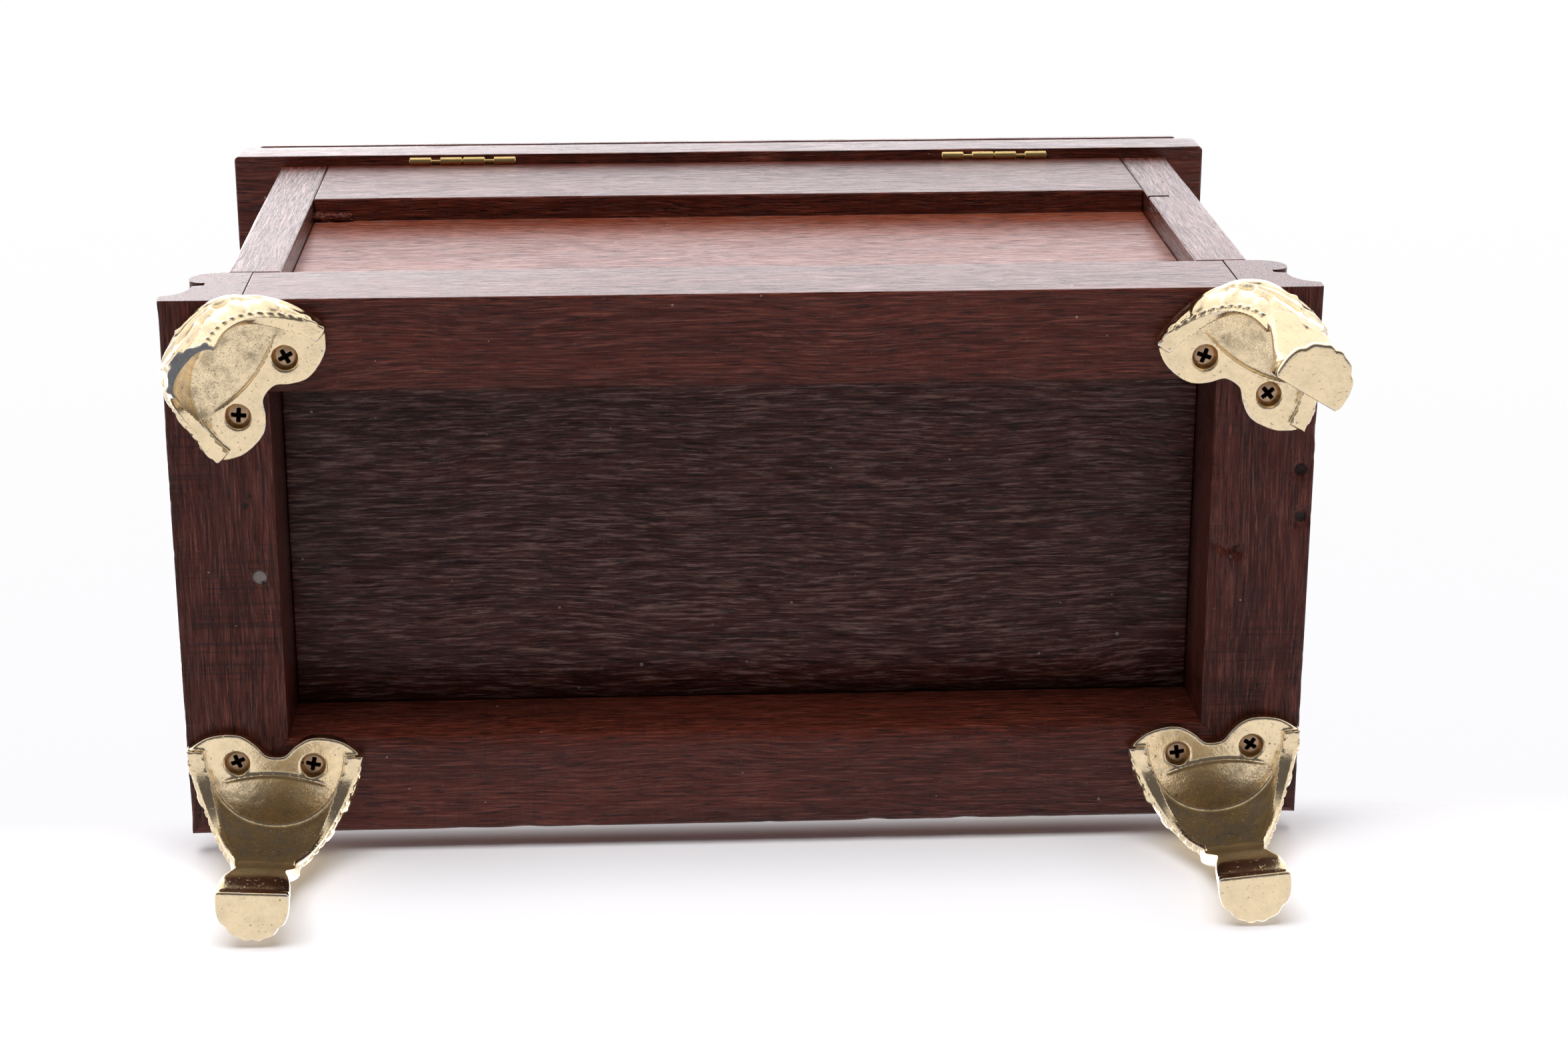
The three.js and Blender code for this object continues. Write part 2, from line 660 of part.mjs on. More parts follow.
function addLid() {
  const left = LID_SHIFT - LID_HALF_WIDTH;
  const right = LID_SHIFT + LID_HALF_WIDTH;
  const shoulder = LID_UNDERSIDE + LID_THICKNESS;
  const board = roundedBoard([left, LID_FRONT, LID_UNDERSIDE], [right, LID_BACK, shoulder], LID_ROUND);
  addPiece("lid_board", toGeometry(cutForHinges(board)), rosewood);

  const top = roundedBoard(
    [left + LID_TOP_INSET, LID_FRONT + LID_TOP_INSET, shoulder + SEAM],
    [right - LID_TOP_INSET, LID_BACK, shoulder + LID_TOP_THICKNESS],
    LID_TOP_ROUND,
  );
  addPiece("lid_top_panel", toGeometry(top), rosewood);

  const frameBorder = 8;
  const frameDepth = 5;
  const [frameLeft, frameRight, frameFront, frameBack] = [-104, 104, -38, 50];
  const frameOutline = polygon([
    [frameLeft, frameFront],
    [frameRight, frameFront],
    [frameRight, frameBack],
    [frameLeft, frameBack],
  ]);
  const window = polygon([
    [frameLeft + frameBorder, frameFront + frameBorder],
    [frameLeft + frameBorder, frameBack - frameBorder],
    [frameRight - frameBorder, frameBack - frameBorder],
    [frameRight - frameBorder, frameFront + frameBorder],
  ]);
  frameOutline.holes.push(window);
  const ceiling = LID_UNDERSIDE - SEAM;
  addPiece("mirror_frame", prismGeometry(frameOutline, ceiling - frameDepth, ceiling), rosewood);
  const inset = frameBorder + 0.3;
  const mirror = boxGeometry(
    [frameLeft + inset, frameFront + inset, ceiling - 3],
    [frameRight - inset, frameBack - inset, ceiling],
  );
  addPiece("mirror", mirror, mirrorGlass);
}

// Hinges: each has a leaf on the case, a leaf under the lid and a pin through their knuckles.
function leafGeometry(x, bottom, knuckles) {
  const start = x - HINGE_LENGTH / 2;
  const top = bottom + LEAF_THICKNESS;
  const plateBack = CASE_BACK - 0.6;
  let leaf = boxSolid([start, plateBack - LEAF_DEPTH, bottom], [start + HINGE_LENGTH, plateBack, top]);
  for (const knuckle of knuckles) {
    const from = start + KNUCKLE_STARTS[knuckle];
    const to = from + KNUCKLE_LENGTH;
    const tab = boxSolid([from, plateBack - 0.2, bottom], [to, HINGE_AXIS_Y, top]);
    leaf = leaf.add(tab).add(toSolid(hingeRod(KNUCKLE_RADIUS, KNUCKLE_LENGTH, (from + to) / 2)));
  }
  const bore = hingeRod(PIN_RADIUS + 0.2, HINGE_LENGTH + 2, x);
  return toGeometry(leaf.subtract(toSolid(bore)));
}

// A rod on the hinges' shared axis.
const hingeRod = (radius, length, x) => axleGeometry(radius, length, x, HINGE_AXIS_Y, HINGE_AXIS_Z);

function addHinges() {
  const caseLeafBottom = CASE_TOP + 0.05;
  const lidLeafBottom = LID_UNDERSIDE - 0.05 - LEAF_THICKNESS;
  HINGE_CENTRES.forEach((x, i) => {
    const side = i === 0 ? "right" : "left";
    addPiece(`hinge_case_leaf_${side}`, leafGeometry(x, caseLeafBottom, [0, 2]), brass);
    addPiece(`hinge_lid_leaf_${side}`, leafGeometry(x, lidLeafBottom, [1, 3]), brass);
    addPiece(`hinge_pin_${side}`, hingeRod(PIN_RADIUS, HINGE_LENGTH, x), brass);
  });
}

addPlinth();
addFeet();
addCase();
addTray();
addDrawer("drawer_lower", 0);
addDrawer("drawer_upper", 1);
addLid();
addHinges();

// The origin is the middle of the footprint, at the height of the toes' undersides.
const part = new THREE.Group();
part.add(chest);
part.updateMatrixWorld(true);
const bounds = new THREE.Box3().setFromObject(chest, true);
const middle = bounds.getCenter(new THREE.Vector3());
chest.position.set(-middle.x, -middle.y, -bounds.min.z);

export default part;
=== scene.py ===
"""Wooden jewellery chest with two drawers, a mirrored lid and four gilt cast feet, one of them snapped.

Shapes are worked out in millimetres, counted from the middle of the plinth's underside with the
drawers facing -Y, and are turned into metres in the frame's place as each mesh is made.
"""

from itertools import product
from math import cos, pi, radians, sin

import bmesh
import bpy
import numpy as np
from mathutils import Matrix, Vector


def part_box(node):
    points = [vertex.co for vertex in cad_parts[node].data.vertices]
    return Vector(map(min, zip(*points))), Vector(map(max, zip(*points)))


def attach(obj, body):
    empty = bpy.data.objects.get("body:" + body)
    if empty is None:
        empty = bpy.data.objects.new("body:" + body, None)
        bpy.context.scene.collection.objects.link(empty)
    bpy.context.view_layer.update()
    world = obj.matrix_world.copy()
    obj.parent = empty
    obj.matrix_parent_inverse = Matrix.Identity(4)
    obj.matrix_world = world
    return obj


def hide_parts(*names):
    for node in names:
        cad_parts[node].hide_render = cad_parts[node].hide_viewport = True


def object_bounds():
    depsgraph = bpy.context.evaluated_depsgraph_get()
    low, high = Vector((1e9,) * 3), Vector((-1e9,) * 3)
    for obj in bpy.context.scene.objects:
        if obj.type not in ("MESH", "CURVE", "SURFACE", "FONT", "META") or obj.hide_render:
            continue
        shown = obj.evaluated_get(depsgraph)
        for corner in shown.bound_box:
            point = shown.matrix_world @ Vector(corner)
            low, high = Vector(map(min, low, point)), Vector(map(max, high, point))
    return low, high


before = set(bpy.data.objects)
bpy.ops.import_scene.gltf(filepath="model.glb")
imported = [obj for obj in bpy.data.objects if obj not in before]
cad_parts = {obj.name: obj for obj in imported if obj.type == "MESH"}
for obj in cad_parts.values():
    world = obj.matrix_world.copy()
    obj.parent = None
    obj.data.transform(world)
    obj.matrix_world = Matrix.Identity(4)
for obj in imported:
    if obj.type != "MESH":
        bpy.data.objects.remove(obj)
cad_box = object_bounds()

MM = 0.001
HALF_DEPTH = 69.2  # from the plinth's middle to the outside of its back rail
SEAM = 0.1  # how far finished pieces stop short of each other at a joint
rail_low, rail_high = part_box("plinth_back")
ORIGIN = np.array([(rail_low.x + rail_high.x) / 2, rail_high.y - HALF_DEPTH * MM, rail_low.z])


# ---------------------------------------------------------------- numbers and curves


def box_mm(node):
    """A frame node's corners, counted in millimetres from the plinth's middle."""
    return [(np.array(corner) - ORIGIN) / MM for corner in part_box(node)]


def lattice(points, cell, seed):
    """Value noise from -1 to 1: hashed heights on a cubic lattice's corners, blended by smoothsteps."""
    scaled = np.asarray(points, float) / cell
    base = np.floor(scaled).astype(np.int64)
    part = scaled - base
    part = part * part * (3 - 2 * part)
    total = np.zeros(len(scaled))
    for corner in product((0, 1), repeat=3):
        x, y, z = (base + corner).T
        mixed = (x * 73856093) ^ (y * 19349663) ^ (z * 83492791) ^ (seed * 97531)
        mixed = (mixed ^ (mixed >> 13)) * 1274126177
        height = (mixed & 0xFFFFFF) / 0xFFFFFF
        total += height * np.prod(np.where(corner, part, 1 - part), axis=1)
    return 2 * total - 1


def smoothstep(low, high, value):
    """0 below low, 1 above high, and a cubic ease between them."""
    t = np.clip((value - low) / (high - low), 0, 1)
    return t * t * (3 - 2 * t)


def through(rows, t):
    """Catmull-Rom curve through evenly spaced rows, at places t from 0 to 1."""
    rows = np.asarray(rows, float)
    padded = np.vstack([2 * rows[0] - rows[1], rows, 2 * rows[-1] - rows[-2]])
    place = np.clip(np.asarray(t, float), 0, 1) * (len(rows) - 1)
    i = np.minimum(place.astype(int), len(rows) - 2)
    f = (place - i)[:, None]
    a, b, c, d = padded[i], padded[i + 1], padded[i + 2], padded[i + 3]
    return b + 0.5 * f * (c - a + f * (2 * a - 5 * b + 4 * c - d + f * (3 * (b - c) + d - a)))


def bezier(a, b, c, d, t):
    """Cubic Bezier curve from a to d, pulled towards b and c."""
    s = 1 - t
    return s**3 * a + 3 * s * s * t * b + 3 * s * t * t * c + t**3 * d


# ---------------------------------------------------------------- meshes


def wrapped_quads(rows, count):
    """Quads between neighbouring rows of a grid whose rows close on themselves."""
    i = np.arange(rows - 1)[:, None] * count
    j = np.arange(count)[None, :]
    k = (j + 1) % count
    return np.stack([i + j, i + k, i + count + k, i + count + j], -1).reshape(-1, 4)


def tube_faces(rows, count):
    """Faces of a closed tube: quads round its sides and one many-sided face over each end."""
    faces = wrapped_quads(rows, count).tolist()
    faces.append(list(range(count))[::-1])
    faces.append(list(range((rows - 1) * count, rows * count)))
    return faces


def raw_mesh(name, points, faces):
    """A mesh from points and faces, with its doubles merged and its faces turned outwards."""
    mesh = bpy.data.meshes.new(name)
    mesh.from_pydata(np.asarray(points, float).reshape(-1, 3).tolist(), [], faces)
    work = bmesh.new()
    work.from_mesh(mesh)
    bmesh.ops.remove_doubles(work, verts=work.verts, dist=1e-5)
    bmesh.ops.recalc_face_normals(work, faces=work.faces)
    work.to_mesh(mesh)
    work.free()
    return mesh


def mesh_points(mesh):
    """A mesh's points as an array."""
    flat = np.empty(len(mesh.vertices) * 3)
    mesh.vertices.foreach_get("co", flat)
    return flat.reshape(-1, 3)


def set_points(mesh, points):
    mesh.vertices.foreach_set("co", np.asarray(points, np.float64).ravel())
    mesh.update()


def set_attribute(mesh, name, values):
    attribute = mesh.attributes.new(name, "FLOAT", "POINT")
    attribute.data.foreach_set("value", np.asarray(values, np.float32))


def join_parts(parts):
    """Several (points, faces) pairs as one pair."""
    points, faces, start = [], [], 0
    for part_points, part_faces in parts:
        part_points = np.asarray(part_points, float).reshape(-1, 3)
        points.append(part_points)
        faces.extend([[start + i for i in face] for face in part_faces])
        start += len(part_points)
    return np.vstack(points), faces


def place_piece(name, mesh, body, nodes, material, smooth_angle=35.0):
    """Puts a millimetre mesh in the frame as a named piece that stands for CAD nodes."""
    set_points(mesh, mesh_points(mesh) * MM + ORIGIN)
    mesh.polygons.foreach_set("use_smooth", np.ones(len(mesh.polygons), bool))
    mesh.set_sharp_from_angle(angle=radians(smooth_angle))
    mesh.materials.append(material)
    piece = bpy.data.objects.new(name, mesh)
    bpy.context.scene.collection.objects.link(piece)
    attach(piece, body)
    if nodes:
        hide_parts(*nodes)
    return piece


def modified(mesh, add_modifiers):
    """The mesh that comes out of the modifiers that add_modifiers(object) puts on it."""
    holder = bpy.data.objects.new("holder", mesh)
    bpy.context.scene.collection.objects.link(holder)
    add_modifiers(holder)
    graph = bpy.context.evaluated_depsgraph_get()
    result = bpy.data.meshes.new_from_object(holder.evaluated_get(graph))
    bpy.data.objects.remove(holder)
    return result


def carved(mesh, cutter):
    """The mesh with the cutter's room taken out of it."""
    tool = bpy.data.objects.new("cutter", cutter)
    bpy.context.scene.collection.objects.link(tool)

    def add(holder):
        cut = holder.modifiers.new("cut", "BOOLEAN")
        cut.operation = "DIFFERENCE"
        cut.solver = "EXACT"
        cut.object = tool

    result = modified(mesh, add)
    bpy.data.objects.remove(tool)
    return result


# ---------------------------------------------------------------- boards


def ring_pattern(half, radius, step):
    """Corner-circle centres, as shares of the inner rectangle, and directions round a rounded rectangle."""
    shares, directions = [], []
    corner_steps = 5
    for quarter in range(4):
        sx, sy = [(1, 1), (-1, 1), (-1, -1), (1, -1)][quarter]
        for i in range(corner_steps + 1):
            angle = (quarter + i / corner_steps) * pi / 2
            shares.append((sx, sy))
            directions.append((cos(angle), sin(angle)))
        along = 0 if quarter % 2 == 0 else 1
        room = half[along] - radius
        inner = 1 - min(0.4, 0.3 * room) / room
        places = np.linspace(inner, -inner, max(2, int(2 * room / step)))
        angle = (quarter + 1) * pi / 2
        sign = sx if along == 0 else sy
        for place in places:
            share = (sign * place, sy) if along == 0 else (sx, sign * place)
            shares.append(share)
            directions.append((cos(angle), sin(angle)))
    return np.array(shares), np.array(directions)


def eased_stack(bottom, top, ease_low, ease_high):
    """Stations of a stack, as rows (inset, height): quarter rounds at both edges and flats between."""
    rows = [(ease_low + 0.4, bottom)]
    for i in range(5):
        angle = i / 4 * pi / 2
        rows.append((ease_low * (1 - sin(angle)), bottom + ease_low * (1 - cos(angle))))
    room = top - ease_high - bottom - ease_low
    support = min(0.4, room / 4)
    for place in np.linspace(bottom + ease_low + support, top - ease_high - support,
                             max(2, int(room / 12))):
        rows.append((0.0, place))
    for i in range(7):
        angle = i / 6 * pi / 2
        rows.append((ease_high * (1 - cos(angle)), top - ease_high * (1 - sin(angle))))
    rows.append((ease_high + 0.4, top))
    return np.array(rows)


def board_mesh(name, low, high, ease=0.5, ease_high=None, corner=None, wear=0.25, seed=1, step=5.0,
               behind=1.0):
    """A board: rounded rectangles stacked in height, each set in by a quarter round at the top and bottom.

    behind is the share of that setting in which the rear edge gets. Along the edges the surface sinks by
    wear times a value noise, which leaves small nicks."""
    low, high = np.array(low, float), np.array(high, float)
    ease = min(ease, 0.3 * (high - low).min())
    ease_high = ease if ease_high is None else ease_high
    radius = max(0.3, ease) if corner is None else corner
    half, middle = (high - low)[:2] / 2, (high + low)[:2] / 2
    shares, directions = ring_pattern(half, radius, step)
    stations = eased_stack(low[2], high[2], ease, ease_high)
    set_in = stations[:, 0, None, None] * np.array((1.0, (1 + behind) / 2))
    shift = stations[:, 0, None, None] * np.array((0.0, (1 - behind) / 2))
    plan = shares[None] * (half - set_in - radius) + radius * directions[None] + middle + shift
    heights = np.broadcast_to(stations[:, 1, None], plan.shape[:2])
    points = np.concatenate([plan, heights[..., None]], -1)
    rows, count = plan.shape[:2]
    flat_low, flat_high = low + ease, high - np.array([ease, ease, ease_high])
    lean = points - np.clip(points, flat_low, flat_high)
    length = np.linalg.norm(lean, axis=-1, keepdims=True)
    lean = lean / np.maximum(length, 1e-6)
    edge = np.clip(3.4 * (1 - np.abs(lean).max(-1)) * (length[..., 0] > 1e-4), 0, 1)
    flat = points.reshape(-1, 3)
    nick = smoothstep(0.2, 0.8, lattice(flat, 9.0, seed))
    nick = nick + 0.5 * smoothstep(0.25, 0.8, lattice(flat, 3.1, seed + 5))
    points = points - lean * (edge * wear * nick.reshape(rows, count))[..., None]
    mesh = raw_mesh(name, points, tube_faces(rows, count))
    where = mesh_points(mesh)
    lean = where - np.clip(where, flat_low, flat_high)
    length = np.linalg.norm(lean, axis=1)
    share = np.abs(lean).max(1) / np.maximum(length, 1e-6)
    set_attribute(mesh, "worn", np.clip(3.4 * (1 - share) * (length > 1e-4), 0, 1))
    return mesh


def board(name, body, slot, material, low=None, high=None, **shape):
    """A board in the room of the CAD node of the same name, or between two corners."""
    node_low, node_high = box_mm(name)
    low = node_low if low is None else low
    high = node_high if high is None else high
    return place_piece(name + "_wood", board_mesh(name, low, high, **shape), body, [name], material)


# ---------------------------------------------------------------- shader helpers


def link(tree, source, target):
    tree.links.new(source, target)


def node(tree, kind, **settings):
    made = tree.nodes.new(kind)
    for key, value in settings.items():
        setattr(made, key, value)
    return made


def feed(tree, socket, value):
    """Links a socket into another, or sets a plain value on it."""
    if isinstance(value, bpy.types.NodeSocket):
        tree.links.new(value, socket)
    elif value is not None:
        socket.default_value = value


def maths(tree, operation, a, b=None, clamp=False):
    made = node(tree, "ShaderNodeMath", operation=operation, use_clamp=clamp)
    feed(tree, made.inputs[0], a)
    feed(tree, made.inputs[1], b)
    return made.outputs[0]


def blend(tree, share, a, b, mode="MIX"):
    """Mixes two colours by a share."""
    made = node(tree, "ShaderNodeMix", data_type="RGBA", blend_type=mode)
    feed(tree, made.inputs[0], share)
    feed(tree, made.inputs[6], a)
    feed(tree, made.inputs[7], b)
    return made.outputs[2]


def reshape(tree, value, low, high, to_low=0.0, to_high=1.0):
    """Maps the values from low to high, smoothly, onto a new range."""
    made = node(tree, "ShaderNodeMapRange", interpolation_type="SMOOTHSTEP")
    for socket, number in zip(made.inputs[:5], (value, low, high, to_low, to_high)):
        feed(tree, socket, number)
    return made.outputs[0]


def scaled(tree, vector, factors):
    """A vector times three factors."""
    made = node(tree, "ShaderNodeVectorMath", operation="MULTIPLY")
    feed(tree, made.inputs[0], vector)
    made.inputs[1].default_value = factors
    return made.outputs[0]


def noise(tree, vector, scale=1.0, detail=3.0, rough=0.55, shift=None, distortion=0.0):
    """Fractal noise, 0 to 1, in four dimensions where shift is given."""
    made = node(tree, "ShaderNodeTexNoise", noise_dimensions="3D" if shift is None else "4D")
    feed(tree, made.inputs["Vector"], vector)
    feed(tree, made.inputs["Scale"], scale)
    made.inputs["Detail"].default_value = detail
    made.inputs["Roughness"].default_value = rough
    made.inputs["Distortion"].default_value = distortion
    if shift is not None:
        feed(tree, made.inputs["W"], shift)
    return made.outputs["Fac"]


def group(name, inputs, outputs):
    """An empty node group with named sockets, and its input and output nodes."""
    tree = bpy.data.node_groups.new(name, "ShaderNodeTree")
    kinds = {"v": "NodeSocketVector", "f": "NodeSocketFloat", "c": "NodeSocketColor"}
    for label, kind in inputs:
        tree.interface.new_socket(label, in_out="INPUT", socket_type=kinds[kind])
    for label, kind in outputs:
        tree.interface.new_socket(label, in_out="OUTPUT", socket_type=kinds[kind])
    return tree, node(tree, "NodeGroupInput").outputs, node(tree, "NodeGroupOutput").inputs


def use_group(tree, shared, **inputs):
    made = node(tree, "ShaderNodeGroup")
    made.node_tree = shared
    for label, value in inputs.items():
        feed(tree, made.inputs[label], value)
    return made.outputs


# ---------------------------------------------------------------- shared effects


def make_figure_group():
    """Wood figure along X, in millimetres: bands, fibres, pores, and pale flecks of dust in the grain."""
    tree, given, wanted = group(
        "wood_figure",
        [("Place", "v"), ("Shift", "f")],
        [("Bands", "f"), ("Fibres", "f"), ("Pores", "f"), ("Flecks", "f"), ("Height", "f")],
    )
    place, shift = given["Place"], given["Shift"]
    sway = noise(tree, scaled(tree, place, (0.011, 0.03, 0.03)), detail=2.0, shift=shift)
    lean = node(tree, "ShaderNodeCombineXYZ")
    feed(tree, lean.inputs["Y"], maths(tree, "MULTIPLY", sway, 9.0))
    feed(tree, lean.inputs["Z"], maths(tree, "MULTIPLY", sway, 5.0))
    bent = node(tree, "ShaderNodeVectorMath", operation="ADD")
    feed(tree, bent.inputs[0], place)
    feed(tree, bent.inputs[1], lean.outputs[0])
    bent = bent.outputs[0]
    bands = noise(tree, scaled(tree, bent, (0.006, 0.11, 0.11)), detail=4.0, rough=0.6, shift=shift)
    fibres = noise(tree, scaled(tree, bent, (0.075, 2.1, 2.1)), detail=4.0, rough=0.8, shift=shift)
    dashes = noise(tree, scaled(tree, bent, (0.16, 2.3, 2.3)), detail=2.0, shift=shift)
    flecks = noise(tree, scaled(tree, bent, (0.09, 1.35, 1.35)), detail=4.0, rough=0.75, shift=shift)
    pores = reshape(tree, dashes, 0.53, 0.66)
    feed(tree, wanted["Bands"], reshape(tree, bands, 0.3, 0.7))
    feed(tree, wanted["Fibres"], fibres)
    feed(tree, wanted["Pores"], pores)
    feed(tree, wanted["Flecks"], reshape(tree, flecks, 0.48, 0.66))
    height = maths(tree, "SUBTRACT", maths(tree, "MULTIPLY", fibres, 0.6), pores)
    feed(tree, wanted["Height"], height)
    return tree


def make_saw_group():
    """Straight saw marks across X, uneven in depth, and a few slanting scratches."""
    tree, given, wanted = group("saw_marks", [("Place", "v")], [("Marks", "f"), ("Scratches", "f")])
    place = given["Place"]
    rows = noise(tree, scaled(tree, place, (1.15, 0.012, 0.012)), detail=4.0, rough=0.75)
    patch = noise(tree, scaled(tree, place, (0.035, 0.05, 0.05)), detail=2.0)
    marks = maths(tree, "MULTIPLY", reshape(tree, rows, 0.45, 0.7), reshape(tree, patch, 0.42, 0.62))
    slant = node(tree, "ShaderNodeMapping")
    feed(tree, slant.inputs["Vector"], place)
    slant.inputs["Rotation"].default_value = (0.4, 0.3, 0.9)
    lines = noise(tree, scaled(tree, slant.outputs[0], (0.018, 1.6, 1.6)), detail=1.0)
    feed(tree, wanted["Marks"], marks)
    feed(tree, wanted["Scratches"], reshape(tree, lines, 0.735, 0.76))
    return tree


def make_wear_group():
    """Wear of edges, from the piece's own worn attribute broken up by noise, and loose dust specks."""
    tree, given, wanted = group("edge_wear", [("Place", "v"), ("Worn", "f")],
                                [("Edge", "f"), ("Specks", "f")])
    patches = noise(tree, given["Place"], scale=0.16, detail=5.0, rough=0.7)
    edge = maths(tree, "MULTIPLY", given["Worn"], reshape(tree, patches, 0.4, 0.62))
    cells = node(tree, "ShaderNodeTexVoronoi", feature="F1")
    feed(tree, cells.inputs["Vector"], given["Place"])
    cells.inputs["Scale"].default_value = 0.11
    size = noise(tree, given["Place"], scale=0.11, detail=0.0)
    near = maths(tree, "LESS_THAN", cells.outputs["Distance"], maths(tree, "MULTIPLY", size, 0.07))
    feed(tree, wanted["Edge"], edge)
    feed(tree, wanted["Specks"], near)
    return tree


def make_cast_group():
    """Cast and plated metal: sand grain, pits, a soft flow of thickness, tarnished hollows, and painted
    shade, fully dark, wherever the hollow value passes 1.2, as in the screws' cross slots.
    """
    tree, given, wanted = group(
        "cast_skin",
        [("Place", "v"), ("Worn", "f"), ("Hollow", "f")],
        [("Height", "f"), ("Tarnish and shade", "f"), ("Bare", "f"), ("Cloud", "f")],
    )
    place = given["Place"]
    sand = noise(tree, place, scale=1.9, detail=4.0, rough=0.65)
    swell = noise(tree, place, scale=0.24, detail=3.0, rough=0.5)
    pits = noise(tree, place, scale=1.15, detail=2.0)
    pit = reshape(tree, pits, 0.66, 0.74)
    height = maths(tree, "ADD", maths(tree, "MULTIPLY", sand, 0.35), maths(tree, "MULTIPLY", swell, 1.3))
    feed(tree, wanted["Height"], maths(tree, "SUBTRACT", height, maths(tree, "MULTIPLY", pit, 0.5)))
    stain = noise(tree, place, scale=0.2, detail=6.0, rough=0.72)
    deep = maths(tree, "MULTIPLY", given["Hollow"], reshape(tree, stain, 0.42, 0.75))
    # Painted shade: where the hollow value passes 1.2, as at the bottom of the screws' cross slots, the
    # surface darkens fully.
    deep = maths(tree, "ADD", deep, reshape(tree, given["Hollow"], 1.2, 2.2))
    dots = reshape(tree, noise(tree, place, scale=3.6, detail=1.0), 0.56, 0.63)
    deep = maths(tree, "MAXIMUM", deep, maths(tree, "MULTIPLY", dots,
                                              maths(tree, "MULTIPLY", given["Hollow"], 0.8)))
    specks = maths(tree, "MULTIPLY", pit, reshape(tree, stain, 0.45, 0.65))
    feed(tree, wanted["Tarnish and shade"], maths(tree, "ADD", deep, specks, clamp=True))
    feed(tree, wanted["Bare"], maths(tree, "MULTIPLY", given["Worn"], reshape(tree, stain, 0.42, 0.6)))
    feed(tree, wanted["Cloud"], stain)
    return tree


FIGURE = make_figure_group()
SAW = make_saw_group()
WEAR = make_wear_group()
CAST = make_cast_group()

TURN_TO_X = {"x": (0, 0, 0), "y": (0, 0, -pi / 2), "z": (0, pi / 2, 0)}


def start_material(name):
    """A material's tree, its shader, and object coordinates in millimetres."""
    material = bpy.data.materials.new(name)
    material.use_nodes = True
    tree = material.node_tree
    shader = tree.nodes["Principled BSDF"]
    coordinates = node(tree, "ShaderNodeTexCoord").outputs["Object"]
    return material, tree, shader, scaled(tree, coordinates, (1000, 1000, 1000))


def attribute(tree, name):
    return node(tree, "ShaderNodeAttribute", attribute_name=name).outputs["Fac"]


def bump(tree, shader, height, distance, strength=1.0):
    made = node(tree, "ShaderNodeBump")
    made.inputs["Strength"].default_value = strength
    made.inputs["Distance"].default_value = distance
    feed(tree, made.inputs["Height"], height)
    link(tree, made.outputs[0], shader.inputs["Normal"])


